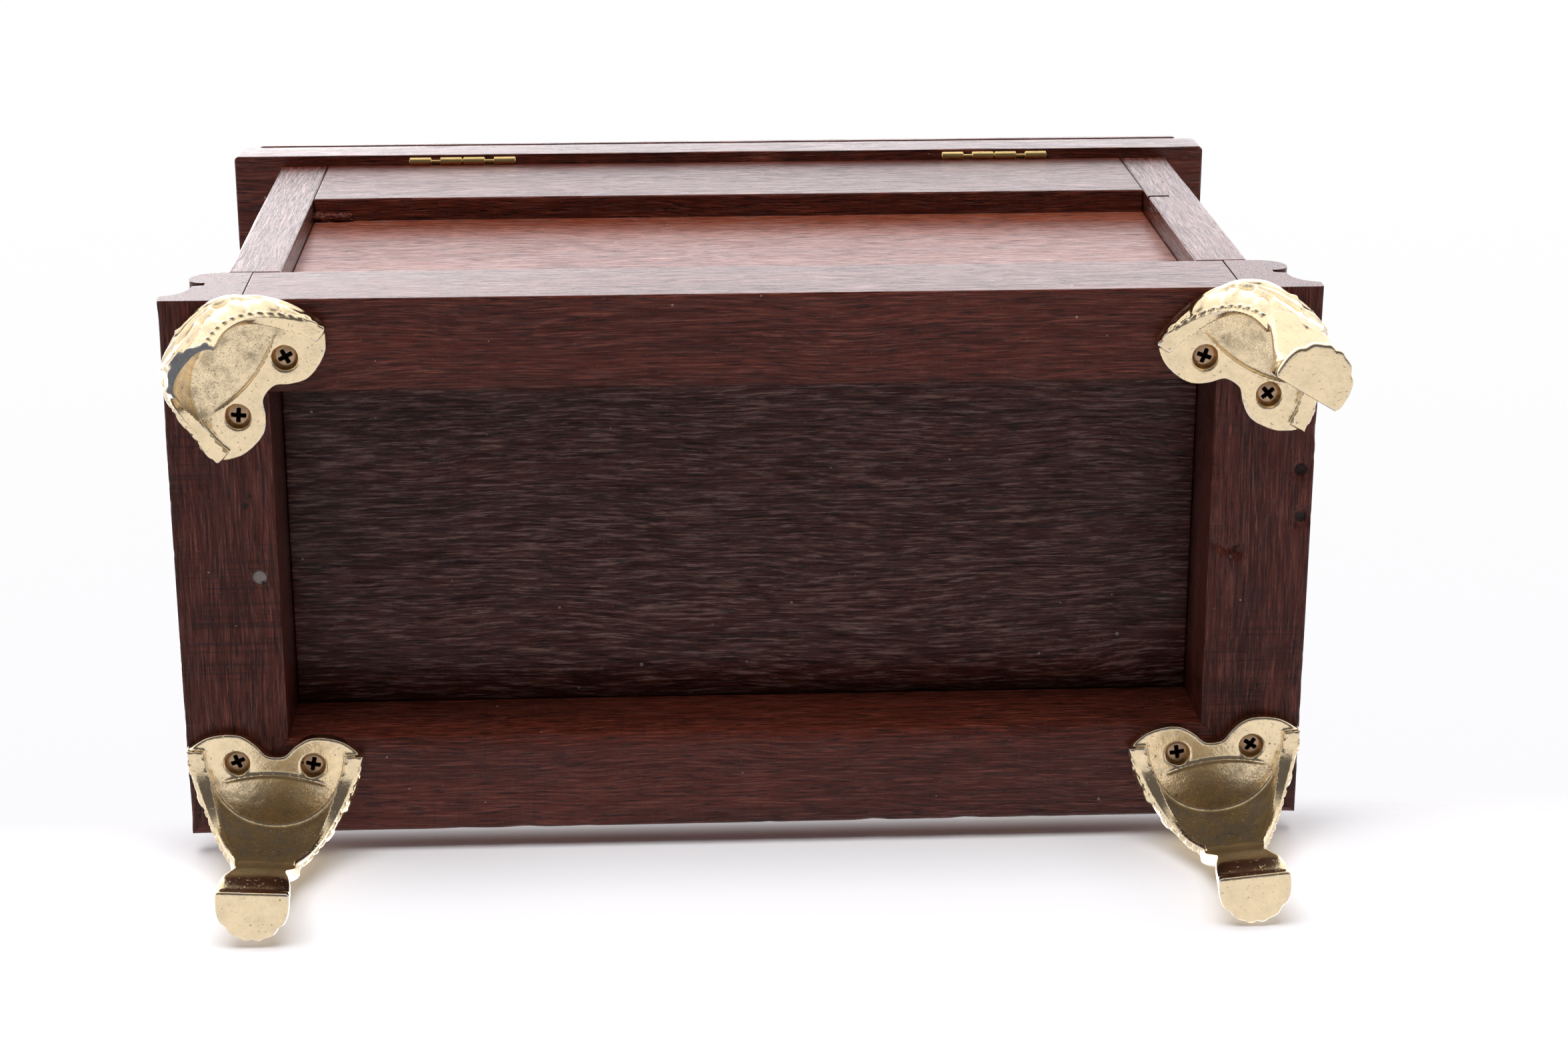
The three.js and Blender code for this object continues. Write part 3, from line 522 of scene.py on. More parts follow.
def wood(name, grain, dark, mid, pale, dust, shift=0.0, flecks=0.5, pores=0.8, saw=0.0,
         rough=0.3, gloss=0.25, edge_colour=(0.02, 0.008, 0.006, 1), edge=0.6, coat=0.7, marks=(),
         shade_depths=None):
    """Stained wood: bands from dark to mid, pale fibres, dark pores, dust in the grain and rubbed edges.

    marks are round fills or holes as (x, y, z, radius, colour), in millimetres from the middle, and
    the last argument gives two depths between which painted shade darkens the colour to near black and
    takes the coat away."""
    material, tree, shader, place = start_material(name)
    turned = node(tree, "ShaderNodeMapping")
    feed(tree, turned.inputs["Vector"], place)
    turned.inputs["Rotation"].default_value = TURN_TO_X[grain]
    turned.inputs["Location"].default_value = (37.0 * shift, 11.0 * shift, 5.0 * shift)
    along = turned.outputs[0]
    figure = use_group(tree, FIGURE, Place=along, Shift=shift)
    sawn = use_group(tree, SAW, Place=along)
    wear = use_group(tree, WEAR, Place=place, Worn=attribute(tree, "worn"))
    threads = reshape(tree, figure["Fibres"], 0.36, 0.64)
    tone = maths(tree, "ADD", maths(tree, "MULTIPLY", threads, 0.55),
                 maths(tree, "MULTIPLY", figure["Bands"], 0.45))
    colour = blend(tree, tone, dark, mid)
    colour = blend(tree, maths(tree, "MULTIPLY", reshape(tree, figure["Fibres"], 0.52, 0.7), 0.6), colour,
                   pale)
    colour = blend(tree, maths(tree, "MULTIPLY", figure["Flecks"], flecks), colour, dust)
    colour = blend(tree, maths(tree, "MULTIPLY", figure["Pores"], pores), colour, (0.006, 0.003, 0.003, 1))
    colour = blend(tree, maths(tree, "MULTIPLY", sawn["Marks"], saw), colour, (0.009, 0.005, 0.005, 1))
    colour = blend(tree, maths(tree, "MULTIPLY", sawn["Scratches"], 0.25), colour, dust)
    colour = blend(tree, maths(tree, "MULTIPLY", wear["Edge"], edge), colour, edge_colour)
    colour = blend(tree, maths(tree, "MULTIPLY", wear["Specks"], 0.55), colour, (0.32, 0.26, 0.22, 1))
    height = maths(tree, "SUBTRACT", figure["Height"], maths(tree, "MULTIPLY", sawn["Marks"], saw))
    for x, y, z, radius, fill in marks:
        centre = (np.array((x, y, z)) + ORIGIN / MM).tolist()
        apart = node(tree, "ShaderNodeVectorMath", operation="DISTANCE")
        feed(tree, apart.inputs[0], place)
        apart.inputs[1].default_value = centre
        ragged = maths(tree, "ADD", apart.outputs["Value"], maths(tree, "MULTIPLY", figure["Fibres"], 1.6))
        spot = reshape(tree, ragged, radius + 0.8, radius + 0.3)
        colour = blend(tree, spot, colour, fill)
        height = maths(tree, "SUBTRACT", height, maths(tree, "MULTIPLY", spot, 2.5))
    unshaded = 1.0
    # Painted shade along the front rail: between the two depths the colour goes towards near black and the
    # coat fades out.
    if shade_depths:
        depth = node(tree, "ShaderNodeSeparateXYZ")
        feed(tree, depth.inputs[0], place)
        painted_shade = reshape(tree, depth.outputs["Y"], *shade_depths)
        colour = blend(tree, maths(tree, "MULTIPLY", painted_shade, 0.85), colour, (0.003, 0.002, 0.0015, 1))
        unshaded = maths(tree, "SUBTRACT", 1.0, painted_shade)
    link(tree, colour, shader.inputs["Base Color"])
    roughness = maths(tree, "ADD", rough - 0.1, maths(tree, "MULTIPLY", figure["Fibres"], 0.2))
    roughness = maths(tree, "ADD", roughness, maths(tree, "MULTIPLY", figure["Flecks"], 0.12))
    link(tree, roughness, shader.inputs["Roughness"])
    shader.inputs["Specular IOR Level"].default_value = gloss
    shader.inputs["Specular Tint"].default_value = (1.0, 0.52, 0.47, 1)
    glints = maths(tree, "MULTIPLY", reshape(tree, figure["Fibres"], 0.42, 0.62), 0.9 * coat)
    glints = maths(tree, "ADD", glints, maths(tree, "MULTIPLY", figure["Flecks"], flecks * coat))
    sealed = maths(tree, "ADD", glints, 0.35 * coat, clamp=True)
    link(tree, maths(tree, "MULTIPLY", sealed, unshaded), shader.inputs["Coat Weight"])
    shader.inputs["Coat Roughness"].default_value = 0.25
    shader.inputs["Coat IOR"].default_value = 1.28
    bump(tree, shader, height, 0.16 * MM)
    return material


def metal(name, bright, deep, bare, rough=0.24, grain=0.05, patina_and_shade=0.85, broken=False):
    """Plated or solid yellow metal: clouded polish over a cast skin, tarnished hollows, rubbed edges, and
    painted shade where the hollow value is high, as in cross slots.
    """
    material, tree, shader, place = start_material(name)
    skin = use_group(tree, CAST, Place=place, Worn=attribute(tree, "worn"),
                     Hollow=attribute(tree, "hollow"))
    colour = blend(tree, reshape(tree, skin["Cloud"], 0.35, 0.7), bright,
                   tuple(0.86 * c for c in bright[:3]) + (1,))
    colour = blend(tree, skin["Bare"], colour, bare)
    # The darkening mixes tarnish with painted shade in the deepest hollows.
    colour = blend(tree, maths(tree, "MULTIPLY", skin["Tarnish and shade"], patina_and_shade), colour, deep)
    roughness = maths(tree, "ADD", rough, maths(tree, "MULTIPLY", skin["Cloud"], 0.14))
    roughness = maths(tree, "ADD", roughness, maths(tree, "MULTIPLY", skin["Tarnish and shade"], 0.3), clamp=True)
    height = skin["Height"]
    if broken:
        crack = attribute(tree, "broken")
        grit = noise(tree, place, scale=1.6, detail=5.0, rough=0.8)
        colour = blend(tree, crack, colour, blend(tree, grit, (0.16, 0.16, 0.165, 1), (0.5, 0.5, 0.51, 1)))
        roughness = maths(tree, "ADD", roughness, maths(tree, "MULTIPLY", crack, 0.4), clamp=True)
        ridges = maths(tree, "MULTIPLY", grit, crack)
        height = maths(tree, "ADD", height, maths(tree, "MULTIPLY", ridges, 6.0))
    link(tree, colour, shader.inputs["Base Color"])
    link(tree, roughness, shader.inputs["Roughness"])
    shader.inputs["Metallic"].default_value = 1.0
    bump(tree, shader, height, grain * MM)
    return material


def velvet_cloth(name, deep, light):
    """Velvet: a short pile lying in soft patches, with a sheen at grazing sight and crushed tracks."""
    material, tree, shader, place = start_material(name)
    pile = noise(tree, place, scale=5.0, detail=2.0)
    lay = noise(tree, scaled(tree, place, (0.03, 0.05, 0.05)), detail=4.0, rough=0.6, distortion=0.6)
    colour = blend(tree, reshape(tree, lay, 0.35, 0.68), deep, light)
    colour = blend(tree, maths(tree, "MULTIPLY", pile, 0.35), colour,
                   tuple(0.5 * c for c in deep[:3]) + (1,))
    link(tree, colour, shader.inputs["Base Color"])
    link(tree, maths(tree, "ADD", 0.78, maths(tree, "MULTIPLY", lay, 0.2)), shader.inputs["Roughness"])
    shader.inputs["Sheen Weight"].default_value = 0.8
    shader.inputs["Sheen Roughness"].default_value = 0.4
    shader.inputs["Sheen Tint"].default_value = (0.95, 0.6, 0.62, 1)
    bump(tree, shader, maths(tree, "ADD", pile, maths(tree, "MULTIPLY", lay, 1.5)), 0.25 * MM)
    return material


def silvered_glass(name):
    """Mirror glass: a bright silver back with faint clouding, dust and a few foxed specks."""
    material, tree, shader, place = start_material(name)
    cloud = noise(tree, place, scale=0.035, detail=5.0)
    specks = reshape(tree, noise(tree, place, scale=0.5, detail=3.0), 0.7, 0.76)
    colour = blend(tree, cloud, (0.82, 0.85, 0.85, 1), (0.9, 0.92, 0.92, 1))
    colour = blend(tree, maths(tree, "MULTIPLY", specks, 0.5), colour, (0.3, 0.28, 0.25, 1))
    link(tree, colour, shader.inputs["Base Color"])
    rough = maths(tree, "ADD", 0.015, maths(tree, "MULTIPLY", reshape(tree, cloud, 0.5, 0.8), 0.06))
    link(tree, maths(tree, "ADD", rough, maths(tree, "MULTIPLY", specks, 0.3)), shader.inputs["Roughness"])
    shader.inputs["Metallic"].default_value = 1.0
    bump(tree, shader, cloud, 0.02 * MM)
    return material


# ---------------------------------------------------------------- finishes

DARK, MID, PALE = (0.017, 0.0035, 0.002, 1), (0.1, 0.019, 0.0105, 1), (0.24, 0.062, 0.036, 1)
DUST = (0.17, 0.11, 0.1, 1)
HONEY_DARK, HONEY_MID, HONEY_PALE = (0.13, 0.062, 0.03, 1), (0.24, 0.13, 0.065, 1), (0.36, 0.21, 0.11, 1)
FILLER = (0.2, 0.17, 0.165, 1)
HOLE = (0.004, 0.003, 0.003, 1)
CRUMB = (0.4, 0.33, 0.27, 1)

rail_marks = [
    (119.4, -0.9, 0, 2.0, FILLER), (118.6, -2.2, 0, 0.7, HOLE), (121.8, 17.7, 0, 1.0, HOLE),
    (120.6, 20.2, 0, 0.6, HOLE),
    (137.6, 9.3, 0, 0.3, CRUMB), (-121.3, 2.0, 0, 1.5, HOLE), (-120.4, 0.4, 0, 0.7, FILLER),
    (-136.8, 22.6, 0, 1.8, HOLE), (-137.4, 10.4, 0, 1.7, HOLE), (-136.4, 11.6, 0, 0.7, FILLER),
    (121.0, 69.2, 4.5, 0.9, CRUMB), (121.4, 69.2, 9.5, 0.7, HOLE), (121.2, 69.2, 17.0, 0.9, HOLE),
]
rail_x = wood("rosewood_rails", "x", DARK, MID, PALE, DUST, shift=1.0, flecks=0.1, saw=0.25,
              marks=[(-19.6, 51.7, 0, 0.3, CRUMB), (119.8, 69.2, 3.0, 0.9, HOLE),
                     (120.0, 69.2, 13.0, 1.0, HOLE)])
rail_y = wood("rosewood_sides", "y", DARK, MID, PALE, DUST, shift=2.0, flecks=0.12, saw=0.8,
              marks=rail_marks)
stile_z = wood("rosewood_stiles", "z", DARK, MID, PALE, DUST, shift=3.0, flecks=0.15, saw=0.3)
lid_x = wood("rosewood_lid", "x", DARK, MID, PALE, DUST, shift=4.5, flecks=0.08, coat=0.8, rough=0.28)
front_x = wood("rosewood_fronts", "x", DARK, MID, PALE, DUST, shift=6.0, flecks=0.08, rough=0.27)
# The bottom panel gets a band of painted shade along the front rail's inner face.
bottom_x = wood("bottom_veneer", "x", (0.008, 0.002, 0.0015, 1), (0.06, 0.013, 0.008, 1),
                (0.15, 0.045, 0.033, 1), (0.22, 0.12, 0.1, 1),
                shift=7.0, flecks=0.7, rough=0.32, gloss=0.12, coat=0.95, shade_depths=(-36.0, -44.0),
                marks=[(6.0, -11.1, 24, 0.4, CRUMB), (16.2, 13.2, 24, 0.5, PALE)])
back_x = wood("back_veneer", "x", (0.08, 0.014, 0.006, 1), (0.2, 0.045, 0.018, 1),
              (0.3, 0.11, 0.06, 1), (0.22, 0.15, 0.14, 1), shift=8.0, flecks=0.4, rough=0.3)
honey_x = wood("drawer_beech_fronts", "x", HONEY_DARK, HONEY_MID, HONEY_PALE, (0.3, 0.25, 0.2, 1),
               shift=9.0, flecks=0.1, pores=0.35, rough=0.55, edge_colour=(0.08, 0.04, 0.02, 1), edge=0.3)
honey_y = wood("drawer_beech_sides", "y", HONEY_DARK, HONEY_MID, HONEY_PALE, (0.3, 0.25, 0.2, 1),
               shift=10.0, flecks=0.1, pores=0.35, rough=0.55, edge_colour=(0.08, 0.04, 0.02, 1), edge=0.3)
gilt = metal("gilt_zinc_plate", (0.94, 0.76, 0.49, 1), (0.2, 0.16, 0.12, 1), (0.78, 0.73, 0.7, 1),
             rough=0.1, grain=0.12, broken=True)
brass = metal("hinge_and_pull_brass", (0.83, 0.6, 0.25, 1), (0.1, 0.055, 0.02, 1), (0.86, 0.74, 0.5, 1),
              rough=0.2, grain=0.03, patina_and_shade=0.7)
screw_brass = metal("old_screw_brass", (0.55, 0.38, 0.25, 1), (0.01, 0.005, 0.004, 1), (0.62, 0.5, 0.36, 1),
                    rough=0.35, grain=0.06, patina_and_shade=1.0)
velvet = velvet_cloth("wine_velvet", (0.07, 0.006, 0.013, 1), (0.2, 0.018, 0.035, 1))
mirror_glass = silvered_glass("mirror_silver")


# ---------------------------------------------------------------- plinth


def moulding_profile():
    """Plinth section as rows (set in from the face, height): underside, fillet, hollow, step, half round.

    It runs from the rail's line below round to the same line above, then round the inner strip."""
    t = np.linspace(0, 1, 13)[:, None]
    row = np.array
    under = np.column_stack([np.linspace(19.6, 1.6, 14), np.zeros(14)])
    foot = row([[0.8, 0.0], [0.35, 0.1], [0.1, 0.35], [0.0, 0.8], [0.0, 2.6], [0.0, 4.2], [0.25, 4.55]])
    hollow = (1 - t) ** 2 * row([0.3, 4.6]) + 2 * t * (1 - t) * row([5.8, 6.2]) + t**2 * row([6.5, 13.0])
    step = row([[6.5, 14.0], [6.8, 14.25], [9.2, 14.8], [9.4, 15.0], [9.4, 17.1]])
    bead = bezier(row([9.4, 17.2]), row([4.2, 16.8]), row([3.8, 23.0]), row([6.8, 25.4]), t)
    crown = (1 - t) ** 2 * row([6.8, 25.4]) + 2 * t * (1 - t) * row([9.0, 27.4]) + t**2 * row([13.3, 27.4])
    outer = np.vstack([under, foot, hollow[1:], step, bead, crown[1:], row([[19.6, 27.4]])])
    inner = row([[25.0, 27.4], [25.3, 27.3], [25.4, 27.0], [25.4, 14.0], [25.4, 0.5], [25.3, 0.2],
                 [25.0, 0.0]])
    return np.vstack([outer, inner]), len(outer)


DENTS = ((119.4, -0.9, 2.2, 0.5), (-121.3, 2.0, 1.7, 1.2), (-136.8, 22.6, 2.4, 0.9),
         (-137.4, 10.4, 2.2, 0.9))


def run_of_moulding(name, seed, face, axis, sign, reach, material, nodes):
    """The moulding's section carried along one face; reach gives each point's two ends by its inset.

    At its rear end the inner strip stops first, for the back rail, and the rest goes on to a second end.
    A value noise sinks the underside by a few hundredths and nicks its outer edge; dents are round."""
    profile, outer = moulding_profile()
    count = len(profile)
    starts, ends, last = reach(profile[:, 0])
    t = np.linspace(0, 1, 130)[:, None]
    along = starts[None] * (1 - t) + ends[None] * t
    more = np.linspace(0, 1, 24)[1:, None] if last is not None else np.zeros((0, 1))
    tail = ends[None, :outer] * (1 - more) + (last if last is not None else 0.0) * more
    section = np.vstack([np.tile(profile, (len(t), 1)), np.tile(profile[:outer], (len(more), 1))])
    run = np.concatenate([along.ravel(), tail.ravel()])
    out = sign * (face - section[:, 0])
    flat = np.stack([run, out, section[:, 1]] if axis == 0 else [out, run, section[:, 1]], -1)
    edge = np.exp(-((np.hypot(section[:, 0], section[:, 1]) / 1.2) ** 2))
    nick = smoothstep(0.25, 0.85, lattice(flat, 8.0, seed))
    nick = nick + 0.4 * smoothstep(0.3, 0.8, lattice(flat, 2.6, seed + 3))
    sunk = flat.copy()
    sunk[:, 1 - axis] -= sign * edge * nick * 0.3
    sunk[:, 2] += edge * nick * 0.3
    under = section[:, 1] < 0.3
    sunk[:, 2] += under * 0.05 * (1 + lattice(flat, 5.0, seed + 7))
    for x, y, radius, depth in DENTS:
        near = np.hypot(flat[:, 0] - x, flat[:, 1] - y) / radius
        sunk[:, 2] += under * depth * np.exp(-(near**2)) * (1 + 0.4 * lattice(flat, 1.1, seed + 9))
    faces = wrapped_quads(len(t), count).tolist() + [list(range(count))]
    end = (len(t) - 1) * count
    if last is None:
        faces.append(list(range(end, end + count)))
    else:
        faces.append([end + i for i in (*range(outer - 1, count), 0)])
        added = (end + count + np.arange(len(more) * outer)).reshape(-1, outer)
        rows = np.vstack([end + np.arange(outer), added])
        after = np.roll(rows, -1, axis=1)
        faces += np.stack([rows[:-1], after[:-1], after[1:], rows[1:]], -1).reshape(-1, 4).tolist()
        faces.append(rows[-1].tolist())
    mesh = raw_mesh(name, sunk, faces)
    where = mesh_points(mesh)
    depth = sign * (sign * face - where[:, 1 - axis])
    worn = [np.exp(-((np.hypot(depth, where[:, 2] - z) / 0.9) ** 2)) for z in (0.0, 4.5)]
    set_attribute(mesh, "worn", np.maximum(*worn))
    return place_piece(name, mesh, "chest", nodes, material)


HALF_WIDTH, RAIL_FRONT = 140.0, 46.3


def build_plinth():
    """Front moulding mitred into both side mouldings, a plain back rail, and the thin bottom panel."""
    run_of_moulding("plinth_front_moulding", 11, HALF_DEPTH, 0, -1,
                    lambda a: (a + SEAM - HALF_WIDTH, HALF_WIDTH - SEAM - a, None), rail_x,
                    ["plinth_front"])
    for side, sign, seed in (("right", 1, 12), ("left", -1, 13)):
        run_of_moulding(f"plinth_{side}_moulding", seed, HALF_WIDTH, 1, sign,
                        lambda a: (a - HALF_DEPTH, np.full(len(a), RAIL_FRONT - SEAM), HALF_DEPTH),
                        rail_y, [f"plinth_{side}"])
    board("plinth_back", "chest", "rosewood", rail_x, ease=0.5, wear=0.5, seed=14)
    board("bottom_panel", "chest", "panel_wood", bottom_x, ease=0.3, seed=15)


# ---------------------------------------------------------------- case, tray and lid


def build_case():
    """Side boards, rails and back panel; the left side board has a stray saw kerf in its rear edge."""
    board("case_side_right", "chest", "rosewood", stile_z, ease=0.6, wear=0.45, seed=21)
    low, high = box_mm("case_side_left")
    side = board_mesh("case_side_left_wood", low, high, ease=0.6, wear=0.45, seed=22)
    kerf = board_mesh("kerf", (-119.1, 66.2, 100.2), (-112.4, 70.4, 101.8), ease=0.1, wear=0)
    side = carved(side, kerf)
    side.name = "case_side_left_wood"
    place_piece("case_side_left_wood", side, "chest", ["case_side_left"], stile_z)
    board("case_front_rail", "chest", "rosewood", front_x, ease=0.5, seed=23)
    board("case_back_rail", "chest", "rosewood", rail_x, ease=0.5, wear=0.5, seed=24)
    board("case_back_panel", "chest", "rosewood", back_x, ease=0.3, seed=25)
    board("drawer_divider", "chest", "rosewood", front_x, ease=0.4, seed=26)
    board("tray_floor", "chest", "drawer_wood", honey_x, ease=0.3, seed=27)


def roll_mesh(name, low, high, rolls):
    """Padded rolls side by side: half rounds across, drawn in at their ends, slowly lumpy along them."""
    count, stations = 26, 90
    pitch = (high[1] - low[1]) / rolls
    parts = []
    for index in range(rolls):
        middle = low[1] + (index + 0.5) * pitch
        angle = np.linspace(0, pi, count)[None, :]
        t = np.linspace(-1, 1, stations)[:, None]
        fullness = np.clip(1 - np.abs(t) ** 26, 0, 1) ** 0.5
        rise = high[2] - low[2] - pitch / 2
        x = (low[0] + high[0]) / 2 + t * (high[0] - low[0]) / 2 + 0 * angle
        y = middle + (pitch / 2 - 0.05) * np.cos(angle) * (0.82 + 0.18 * fullness)
        z = low[2] + (rise + pitch / 2 * np.sin(angle) ** 0.8) * (0.25 + 0.75 * fullness)
        top = np.stack([x, y, z], -1)
        base = top[:, [-1, 0]].copy()
        base[..., 2] = low[2]
        rows = np.concatenate([top, base], 1)
        flat = rows.reshape(-1, 3)
        lump = lattice(flat, 13.0, 30 + index) + 0.4 * lattice(flat, 4.5, 33 + index)
        above = smoothstep(low[2] + 2, high[2], flat[:, 2])
        flat[:, 2] -= above * 0.45 * (1 + lump)
        parts.append((flat, tube_faces(stations, count + 2)))
    return raw_mesh(name, *join_parts(parts))


def pad_mesh(name, low, high, seed):
    """A thin pad: a rounded slab whose top sinks and swells a little and falls away to its sewn edge."""
    n, m = 90, 56
    u, v = np.meshgrid(np.linspace(-1, 1, n), np.linspace(-1, 1, m), indexing="ij")
    half = (high - low) / 2
    middle = (high + low) / 2
    edge = np.minimum((1 - np.abs(u)) * half[0], (1 - np.abs(v)) * half[1])
    crown = 0.45 + 0.55 * smoothstep(0, 3.0, edge)
    x, y = middle[0] + u * half[0], middle[1] + v * half[1]
    top = np.stack([x, y, low[2] + (high[2] - low[2]) * crown], -1).reshape(-1, 3)
    swell = 0.5 + 0.5 * lattice(top, 17.0, seed)
    top[:, 2] -= 0.35 * swell * smoothstep(0, 4.0, edge).ravel()
    under = top.copy()
    under[:, 2] = low[2]
    i, j = np.meshgrid(np.arange(n - 1), np.arange(m - 1), indexing="ij")
    a = (i * m + j).ravel()
    quads = np.stack([a, a + m, a + m + 1, a + 1], -1)
    rim = np.concatenate([np.arange(m), np.arange(1, n) * m + m - 1, (n - 1) * m + np.arange(m - 2, -1, -1),
                          np.arange(n - 2, 0, -1) * m])
    total = n * m
    walls = np.stack([rim, np.roll(rim, -1), np.roll(rim, -1) + total, rim + total], -1)
    faces = np.vstack([quads, quads[:, ::-1] + total, walls]).tolist()
    return raw_mesh(name, np.vstack([top, under]), faces)


def build_tray():
    """Velvet tray under the lid: a pad, a covered partition and a row of ring rolls."""
    board("tray_partition", "chest", "velvet", velvet, ease=1.2, wear=0.1, seed=28)
    low, high = box_mm("tray_lining")
    lining = place_piece("tray_pad", pad_mesh("tray_pad", low, high, 29), "chest",
                         ["tray_lining"], velvet)
    low, high = box_mm("ring_cushion")
    rolls = place_piece("ring_rolls", roll_mesh("ring_rolls", low, high, 3), "chest",
                        ["ring_cushion"], velvet, 60)


def frame_moulding(name, low, high, border, nodes, body, material):
    """A mitred frame: flat, bead and bevel carried round a rectangle, with corners at 45 degrees."""
    depth = high[2] - low[2]
    section = np.array([
        (0.0, depth), (0.0, 1.6), (0.35, 0.9), (1.0, 0.7), (1.9, 0.7), (2.2, 0.25), (2.9, 0.0), (3.6, 0.25),
        (3.9, 0.7),
        (5.6, 1.5), (7.2, 2.4), (7.7, 2.7), (border, 3.0), (border, depth),
    ])
    corners = [(1, 1), (-1, 1), (-1, -1), (1, -1)]
    half, middle = (high - low)[:2] / 2, (high + low)[:2] / 2
    rows = []
    for sx, sy in corners:
        x = middle[0] + sx * (half[0] - section[:, 0])
        y = middle[1] + sy * (half[1] - section[:, 0])
        rows.append(np.stack([x, y, low[2] + section[:, 1]], -1))
    rows.append(rows[0])
    t = np.linspace(0, 1, 24)[:, None, None]
    sides = [rows[i] * (1 - t) + rows[i + 1] * t for i in range(4)]
    points = np.vstack([side[:-1] for side in sides])
    total, count = len(points), len(section)
    i = np.arange(total)[:, None] * count
    j = np.arange(count)[None, :]
    k = (j + 1) % count
    after = (i + count) % (total * count)
    faces = np.stack([i + j, i + k, after + k, after + j], -1).reshape(-1, 4).tolist()
    mesh = raw_mesh(name, points, faces)
    where = mesh_points(mesh)
    set_attribute(mesh, "worn", np.exp(-(((where[:, 2] - low[2]) / 0.5) ** 2)))
    return place_piece(name, mesh, body, nodes, material, 30)


def build_lid():
    """Lid board with a rounded upper edge, a thin raised top board, and a framed mirror under it."""
    board("lid_board", "lid", "rosewood", lid_x, ease=0.7, ease_high=4.0, corner=1.3, wear=0.4, seed=41,
          behind=0.1)
    board("lid_top_panel", "lid", "rosewood", lid_x, ease=0.2, ease_high=1.2, corner=1.0, wear=0.3, seed=42,
          behind=0.4)
    low, high = box_mm("mirror_frame")
    frame_moulding("mirror_frame_moulding", low, high, 8.0, ["mirror_frame"], "lid", lid_x)
    low, high = box_mm("mirror")
    glass = board_mesh("mirror_glass", low, high, ease=1.0, ease_high=0.1, wear=0)
    place_piece("mirror_glass", glass, "lid", ["mirror"], mirror_glass)


# ---------------------------------------------------------------- drawers and their pulls


def lathe(profile, count):
    """A profile of (distance along the axis, radius) turned round X: points and closed faces."""
    profile = np.array(profile, float)
    angle = np.linspace(0, 2 * pi, count, endpoint=False)[None, :]
    radius = profile[:, 1][:, None]
    x = np.broadcast_to(profile[:, 0][:, None], (len(profile), count))
    points = np.stack([x, radius * np.cos(angle), radius * np.sin(angle)], -1).reshape(-1, 3)
    return points, tube_faces(len(profile), count)


def outline_stack(outline, stations):
    """A closed outline stacked as rows (inset, height), each set in along the outline's own normals."""
    outline = np.asarray(outline, float)
    tangent = np.roll(outline, -1, 0) - np.roll(outline, 1, 0)
    tangent /= np.maximum(np.linalg.norm(tangent, axis=1, keepdims=True), 1e-9)
    inward = np.stack([-tangent[:, 1], tangent[:, 0]], -1)
    rows = [np.column_stack([outline + inset * inward, np.full(len(outline), height)])
            for inset, height in stations]
    return np.concatenate(rows), tube_faces(len(stations), len(outline))


def pull_outline():
    """Half of the back plate's edge, counter-clockwise from its foot, mirrored: lobes between points."""
    corners = [(0, -9), (9, -6.5), (17.5, -4), (22.5, 0), (17.5, 4), (9, 6), (0, 8.5)]
    pulls = [(4, -5.5), (14, -8.5), (20.5, -1.5), (20.5, 1.5), (14, 8.5), (4, 5.5)]
    t = np.linspace(0, 1, 9)[:-1, None]
    corners, pulls = np.array(corners, float), np.array(pulls, float)
    arcs = [(1 - t) ** 2 * corners[i] + 2 * t * (1 - t) * pulls[i] + t**2 * corners[i + 1]
            for i in range(6)]
    right = np.vstack(arcs + [np.array([corners[-1]])])
    left = right[1:-1][::-1] * np.array((-1, 1))
    return np.vstack([right, left])


